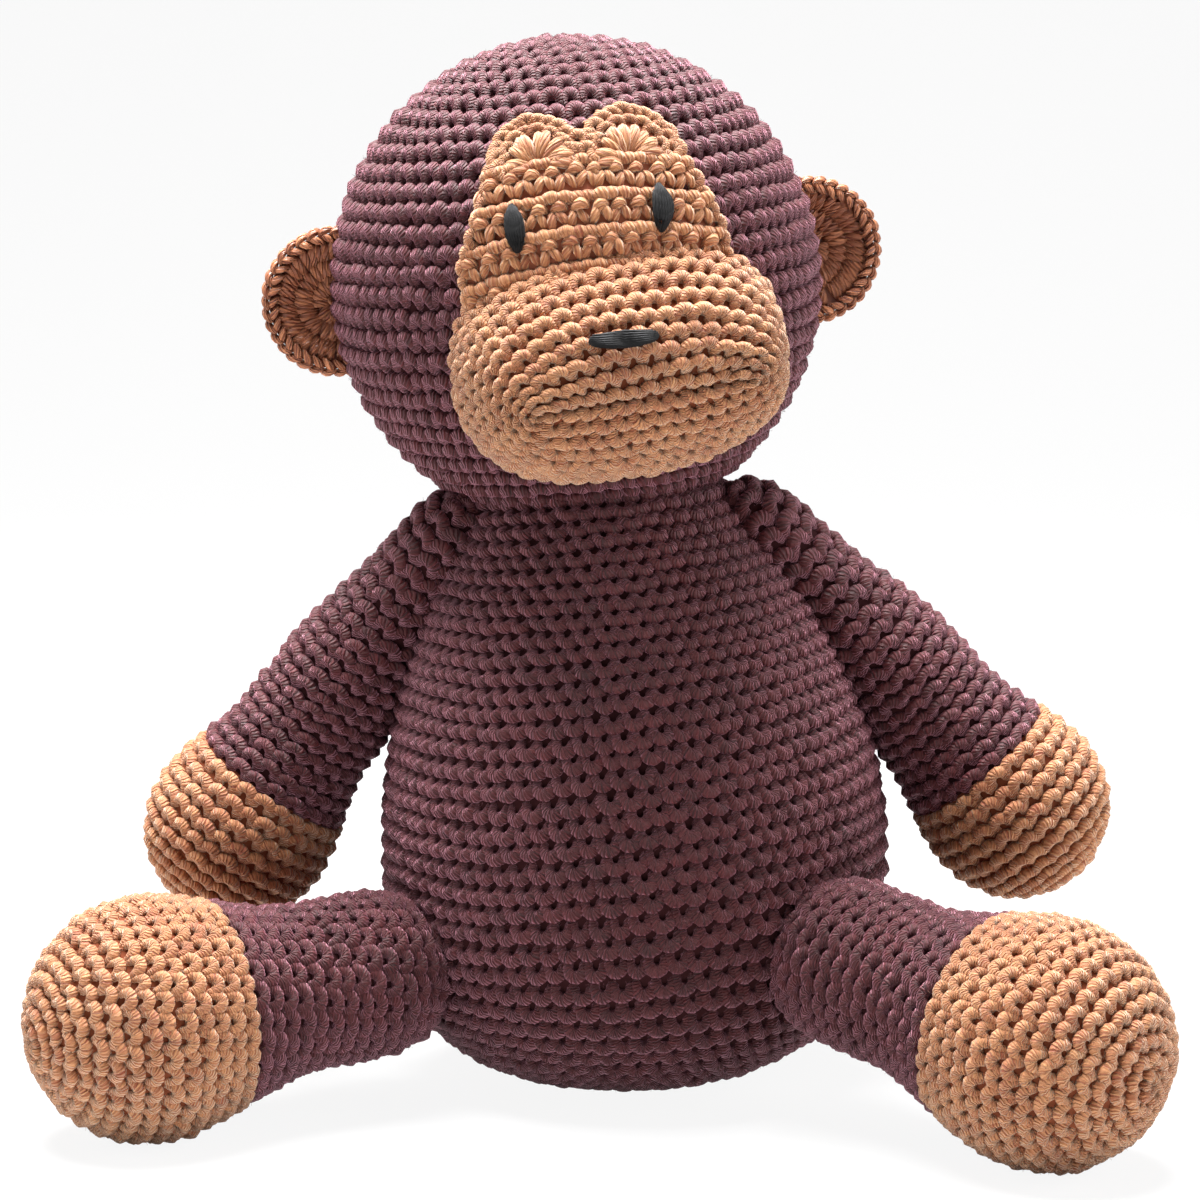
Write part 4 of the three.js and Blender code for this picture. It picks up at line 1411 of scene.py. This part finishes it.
for j in range(patch_bands):
    level = first_row - band_height * j
    face_row(rope, level, (1, 1, 0.95), seed=31 + j, offset=0.25, inset=1.2, pitch=2.7)
    face_row(bead, level - bead_drop, (0.84, 1.1, 1.1), seed=36 + j)
    face_row(leg_pair, level - leg_drop, (1, 1, 1), seed=41 + j)
print("face rows", len(patch_layers))

# %% [markdown]
# Each brow is a fan of long stitches from one hole, with two lines of small ones around it. Straight
# rows could be cut to the round outline, but they would leave half stitches along it. A few stitches fill
# the notch between the brows.

# %% Brows
brow_lines = (  # stitch, share of the radius, sizes, number, first and last angle
    (fan, 0.05, (1.1, 1.22, 1.05), 12, -4, 184),
    (stitch, 0.57, (0.85, 0.65, 0.8), 10, -8, 190),
    (stitch, 0.73, (0.9, 0.75, 0.85), 11, 36, 180),
)
notch_x = np.array([-2.6, 0.3, 3.2, -1.2, 1.8])
notch_z = np.array([36.6, 37.2, 36.0, 34.6, 34.4])


def set_on_face(one, x, z, dx, dz, scales, seed, wobble=usual_wobble):
    """Stitches at places of the patch that point along (dx, dz)."""
    places, outs = on_face(x, z)
    patch_layers.append(set_stitches(one, places, face_way(x, z, dx, dz), outs, scales, seed, wobble))


for side in (-1, 1):
    for one, share, scales, count, low, high in brow_lines:
        angles = np.radians(np.linspace(low, high, count))
        x, z = brow_point(side, angles, share * brow_radius[side])
        dx, dz = -side * np.cos(angles), np.sin(angles)
        set_on_face(one, x, z, dx, dz, scales, seed=45 + count, wobble=0.15)
set_on_face(stitch, notch_x, notch_z, 0, 1, (0.85, 0.8, 0.85), seed=48, wobble=0.2)
print("brows, layers so far", len(patch_layers))

# %% [markdown]
# A line of stitches edges the straight sides. Under everything lies a thin backing, as the fabric of
# the patch itself would, so that no brown shows between the tan stitches. Its low tone and depth paint it
# in the dark of the shade between the stitches: painted shade. It is drawn as rings that shrink to the
# middle of the patch, since one large face would cut through the ball.

# %% Edge and backing of the face patch
edge_pitch, edge_inset = 3.8, 3.0
backing_middle = np.array([0, 20])
backing_lift = 0.6
backing_scale, backing_shift = (0.93, 1), (0, -2.2)  # from the outline to the edge of the backing
backing_shares = (0.15, 0.35, 0.55, 0.75, 1.0)

for side, half in zip((-1, 1), outline):
    line = even_rows(half[brow_places - 1:], edge_pitch)
    ahead = unit(np.gradient(line, axis=0))
    outward = np.stack([-ahead[:, 1], ahead[:, 0]], axis=1) * side
    inner = line - outward * edge_inset
    scales = (edge_pitch / stitch_width, 0.75, 0.85)
    set_on_face(stitch, *inner.T, *outward.T, scales, seed=51 + side)

backing_edge = whole_outline * backing_scale + backing_shift
rings = [backing_middle + (backing_edge - backing_middle) * share for share in backing_shares]
around = len(backing_edge)
backing_faces = [list(range(around))]
for i in range(len(rings) - 1):
    for k in range(around):
        after = (k + 1) % around
        low, high = i * around, (i + 1) * around
        backing_faces.append([high + k, high + after, low + after, low + k])
backing = {
    "corners": np.concatenate([on_face(*ring.T, backing_lift)[0] for ring in rings]),
    "faces": backing_faces,
    "uv": np.zeros((sum(map(len, backing_faces)), 2)),
}
# Painted shade: the backing is drawn dark, as the shade between the stitches.
patch_layers.append(set_once(backing, tone=0.3, depth=0.2))
face_patch = make_mesh("face_patch_stitches", patch_layers, tan_yarn)
dress(face_patch, "tan_yarn", "face_patch", "head")

# %% [markdown]
# The eyes and the nose are satin stitches: black threads laid side by side, over a little padding
# that lifts the middle ones. A glass bead would be rounder and shinier than what the photograph shows.
# Every thread is a tube of its own, so that the light breaks on each.

# %% Eyes and nose
thread_taper = 0.2
side_fall = 0.7  # how strongly the padding falls off to the sides
eye_width, eye_height = 3.7, 10.6
eye_lift, eye_swell, eye_end_fall = 1.9, 1.5, 0.85
eye_short, eye_narrow = 0.6, 0.4  # shorter threads at the sides, closer threads at the ends
nose_width, nose_height, nose_level, nose_side, nose_tilt = 16, 3.0, 13.9, -3.5, 0.45
nose_lift, nose_swell, nose_end_fall = 1.0, 1.2, 0.9
nose_short, nose_narrow = 0.35, 0.3
eyes = {  # place on the patch, lean in degrees, and how far the left edge bows out
    "right_eye": (-17.4, 20.5, -4, 0.2),
    "left_eye": (15.4, 19.8, -8, 0.9),
}


def satin(strands, places, thick, thread_line):
    """Threads side by side. thread_line gives the points of one: across is its place among them, from -1
    to 1, and along goes from -1 to 1 between its ends."""
    along = np.linspace(-1, 1, places)
    layers = []
    for k in range(strands):
        points = thread_line((k + 0.5) / strands * 2 - 1, along)
        line = [(*p, thick - thread_taper * abs(a)) for p, a in zip(points, along)]
        layers.append(set_once(yarn_tube(line, places + 2), tone=0.5, depth=1.0))
    return layers


def padding(swell, across, along, end_fall):
    """How far the padding lifts a thread: by swell in the middle, and less to the sides and the ends."""
    return swell * math.sqrt(1 - side_fall * across**2) * (1 - end_fall * along**4)


def eye_line(eye, across, along):
    """One thread of an eye, from its lower end to its upper one."""
    eye_x, eye_z, lean, bow = eyes[eye]
    lift = eye_lift + padding(eye_swell, across, along, eye_end_fall)
    x = across * eye_width / 2 * (1 - eye_narrow * along**4) + bow * (across + 1) / 2 * (1 - along**2)
    z = along * (0.5 * eye_height * math.sqrt(1 - eye_short * across**2))
    c, s = math.cos(math.radians(lean)), math.sin(math.radians(lean))
    return on_face(eye_x + c * x - s * z, eye_z + s * x + c * z, lift)[0]


def nose_line(across, along):
    """One thread of the nose, from its right end to its left one."""
    x = nose_side + along * (0.5 * nose_width * math.sqrt(1 - nose_short * across**2))
    z = nose_level + across * nose_height / 2 * (1 - nose_narrow * along**2) - nose_tilt * along
    slope = np.arccos(np.clip(z / muzzle_height, -1, 1))
    lift = nose_lift + padding(nose_swell, across, along, nose_end_fall)
    return from_muzzle(np.stack([x, -muzzle_depth * np.sin(slope) - lift, z], axis=1))


for name in eyes:
    layers = satin(8, 7, 0.55, thread_line=lambda across, along: eye_line(name, across, along))
    dress(make_mesh(name + "_satin", layers, black_thread), "black_thread", name, "head")
nose_layers = satin(7, 9, 0.6, thread_line=nose_line)
dress(make_mesh("nose_satin", nose_layers, black_thread), "black_thread", "nose", "head")

# %% [markdown]
# An ear is a half disc that is cupped forwards. A sphere could be cut for it, but a formula for the
# dish also gives the ways out of it and towards its rim, which every stitch needs. A thin sheet lies in
# the middle and closes the gaps between the stitches. It is painted dark, as the shade in those gaps.

# %% Shape of an ear
ear_radius, ear_dish, ear_level, ear_reach = 17.6, 5, 1.8, 59.5
sheet_radii = np.linspace(0, ear_radius - 1, 7)
sheet_angles = np.radians(np.linspace(-100, 100, 25))
sheet_half = 0.15


def on_ear(side, r, a, lift=0.0):
    """Places on an ear at radius r and angles a, the ways out of it, and the ways to its rim."""
    r = np.full_like(a, r)
    share = r / ear_radius
    slope = -2 * ear_dish * share / ear_radius
    out = unit(np.stack([slope * np.cos(a) * side, -np.ones_like(a), slope * np.sin(a)], axis=-1))
    radial = unit(np.stack([side * np.cos(a), slope, np.sin(a)], axis=-1))
    x, z = side * (ear_reach + r * np.cos(a)), ear_level + r * np.sin(a)
    local = np.stack([x, ear_dish * (1 - share**2), z], axis=-1)
    return from_head(local + out * lift), out @ head_turn.T, radial @ head_turn.T


def ear_sheet(side, face):
    """The thin sheet under the stitches: its front for face 1 and its back for face -1."""
    rows = [on_ear(side, r, sheet_angles, sheet_half * face)[0] for r in sheet_radii]
    count = len(sheet_angles)
    faces = []
    for i in range(len(rows) - 1):
        for k in range(count - 1):
            low, high = i * count + k, (i + 1) * count + k
            quad = [low, low + 1, high + 1, high]
            faces.append(quad if face * side > 0 else quad[::-1])
    return {"corners": np.concatenate(rows), "faces": faces, "uv": np.zeros((4 * len(faces), 2))}


# %% [markdown]
# An ear is worked outwards from its root in half rounds, and its rim is braided. Both of its faces can
# be seen, so the tufts are set on both sides of the sheet. A mirrored copy would be quicker, but a mirror
# turns faces inside out. The ear rides no body and stays where it is made.

# %% Ears
ear_bend = 8
half_rounds = ((1.2, 5, 5.0, 0.9), (5.4, 8, 5.2, 1.0), (10.0, 12, 5.4, 1.05))  # radius, number, height, width
half_round_end = 94
tuft_lift = 0.5
rim_angles = np.radians(np.linspace(-97, 97, 20))
rim_lines = ((16.3, 1.2, 0.6), (17.4, 0.1, -0.6), (16.5, -1.2, 0.6))  # radius, lift, slant


def ear_layers(side):
    # Painted shade: the sheet is drawn dark, as the shade between the stitches.
    layers = [set_once(ear_sheet(side, face), tone=0.3, depth=0.4) for face in (1, -1)]
    for j, (r, count, high, wide) in enumerate(half_rounds):
        a = np.radians(np.linspace(-half_round_end, half_round_end, count))
        scales = (wide, high / tuft_height, 0.8)
        for face in (1, -1):
            places, outs, ups = on_ear(side, r, a, tuft_lift * face)
            # light=0.6 paints the tufts of both faces darker than the rim: painted shade in the cup of the
            # ear.
            layers.append(set_stitches(
                tuft, places, ups, outs * face, scales, seed=61 + j, wobble=0.12, light=0.6))
    for r, lift, slant in rim_lines:
        places, outs, radial = on_ear(side, r, rim_angles, lift)
        around = np.cross(radial, outs) * side
        to_a_face = np.sign(lift) * (abs(lift) > 0.5)  # the first and last line turn to the front and back
        facing = radial + outs * to_a_face
        ups = around + slant * np.cross(around, facing)
        layers.append(set_stitches(leaf, places, ups, facing, (0.95, 0.95, 1.0), seed=65))
    return layers


for side, name in ((-1, "right_ear"), (1, "left_ear")):
    root, end = from_head([(side * (ear_reach + x), ear_dish, ear_level) for x in (0, ear_bend)])
    ear = make_mesh(name + "_stitches", ear_layers(side), ear_yarn)
    dress(ear, "ear_yarn", name, blend=("head", name, root, end))

# %% [markdown]
# The pieces are sewn together with short slanting stitches. Each seam follows the line where one
# form goes into another, which is found on the grid of the form. A boolean cut would give the same
# line, but as loose edges without the directions that a stitch needs.

# %% Sewing
sewing_slant = 0.5


def crossing(form, beyond, first_row=0):
    """The ring of places, with normals, after which the rows of a form first lie beyond a line. beyond
    tells that from points: inside another form, or outside it for a form that starts within."""
    past = beyond(form.rows.reshape(-1, 3)).reshape(form.rows.shape[:2])
    past[:first_row] = False
    points, outs = [], []
    for k in range(form.rows.shape[1]):
        change = np.nonzero(past[1:, k] & ~past[:-1, k])[0]
        if len(change):
            points.append(form.rows[change[0], k])
            outs.append(form.normals[change[0], k])
    return np.array(points), np.array(outs)


def sew(name, node, points, outs, slot, pitch, size, seed, body=None, bend=None, closed=True):
    """A row of slanting stitches along a line."""
    if closed:
        points, outs = np.vstack([points, points[:1]]), np.vstack([outs, outs[:1]])
    line = even_rows(np.hstack([points, outs]), pitch)
    places, outs = line[:, :3], unit(line[:, 3:])
    ahead = unit(np.gradient(places, axis=0))
    ups = np.cross(outs, ahead) + sewing_slant * ahead
    layer = set_stitches(sewn, places, ups, outs, size, seed)
    dress(make_mesh(name, [layer], yarns[slot]), slot, node, body, bend)


# %% [markdown]
# The neck comes first, then the muzzle, then the limbs and the ears of each side, and last the face
# patch. A seam between two bodies rides neither and stays where it is made. A drawn line could
# hint at a seam, but real stitches also cover the edge where two pieces meet.

# %% Seams
limb_pitch, limb_sewing = 4.2, (1, 1.1, 1)
past_root = 4
limb_seam_out, neck_seam_out, muzzle_seam_out = 0.5, 0.5, 0.8  # from the larger form to the seam
neck_stitch_turn = (0, 0, -0.3)  # turns the stitches at the neck a little downwards
patch_seam_share, patch_seam_drop, patch_seam_lift = 0.97, 0.8, -0.6  # from the outline to the seam
ear_seam_half, ear_seam_back = 15, 3.0
neck_gives = (-12, 20)  # heights measured from the neck's own, given with the neck seam


def sew_limb(limb, socket, seed):
    """Sews a limb on where it goes into the body, no further out than a little past its root."""
    first_row = int(np.sum(limb.places > limb.bends[1] + past_root))
    points, outs = crossing(limb_forms[limb.name], lambda p: depth_in_body(p) > -limb_seam_out, first_row)
    bend = ("torso", socket, limb.middle(limb.bends[0]), limb.middle(limb.bends[1]))
    sew(socket + "_sewing", socket + "_seam", points, outs, "brown_yarn",
        limb_pitch, limb_sewing, seed, bend=bend)


def sew_ear(name, side):
    z = np.linspace(ear_level - ear_seam_half, ear_level + ear_seam_half, 9)
    local = np.stack([side * np.sqrt(head_radius**2 - z**2), np.full_like(z, ear_seam_back), z], axis=1)
    sew(name + "_sewing", name + "_seam", from_head(local), unit(local) @ head_turn.T, "ear_yarn",
        pitch=4.0, size=(1, 1.2, 1), seed=75, body="head", closed=False)


points, outs = crossing(body_form, lambda p: out_of_head(p) > neck_seam_out)
neck_ends = [(neck_sway, 0, neck_height + z) for z in neck_gives]
neck_bend = ("torso", "neck", *neck_ends)
sew("neck_sewing", "neck_seam", points, outs + neck_stitch_turn, "brown_yarn",
    pitch=3.6, size=(1, 1.1, 1), seed=71, bend=neck_bend)
points, outs = crossing(muzzle_form, lambda p: out_of_head(p) < muzzle_seam_out)
sew("muzzle_sewing", "muzzle_seam", points, outs, "tan_yarn",
    pitch=4.0, size=(0.9, 0.9, 0.9), seed=72, body="head")
for side, sign in (("right", -1), ("left", 1)):
    sew_limb(arms[side], side + "_shoulder", seed=73)
    sew_limb(legs[side], side + "_hip", seed=74)
    sew_ear(side + "_ear", sign)
seam_x, seam_z = whole_outline[:, 0] * patch_seam_share, whole_outline[:, 1] - patch_seam_drop
points, outs = on_face(seam_x, seam_z, patch_seam_lift)
sew("face_patch_sewing", "face_patch_seam", points, outs, "tan_yarn",
    pitch=4.6, size=(0.7, 0.55, 0.8), seed=76, body="head", closed=False)

# %% [markdown]
# The stitches stand a little proud of the plain solids, so the dressed toy is larger than the imported
# model by about a millimetre on each side.
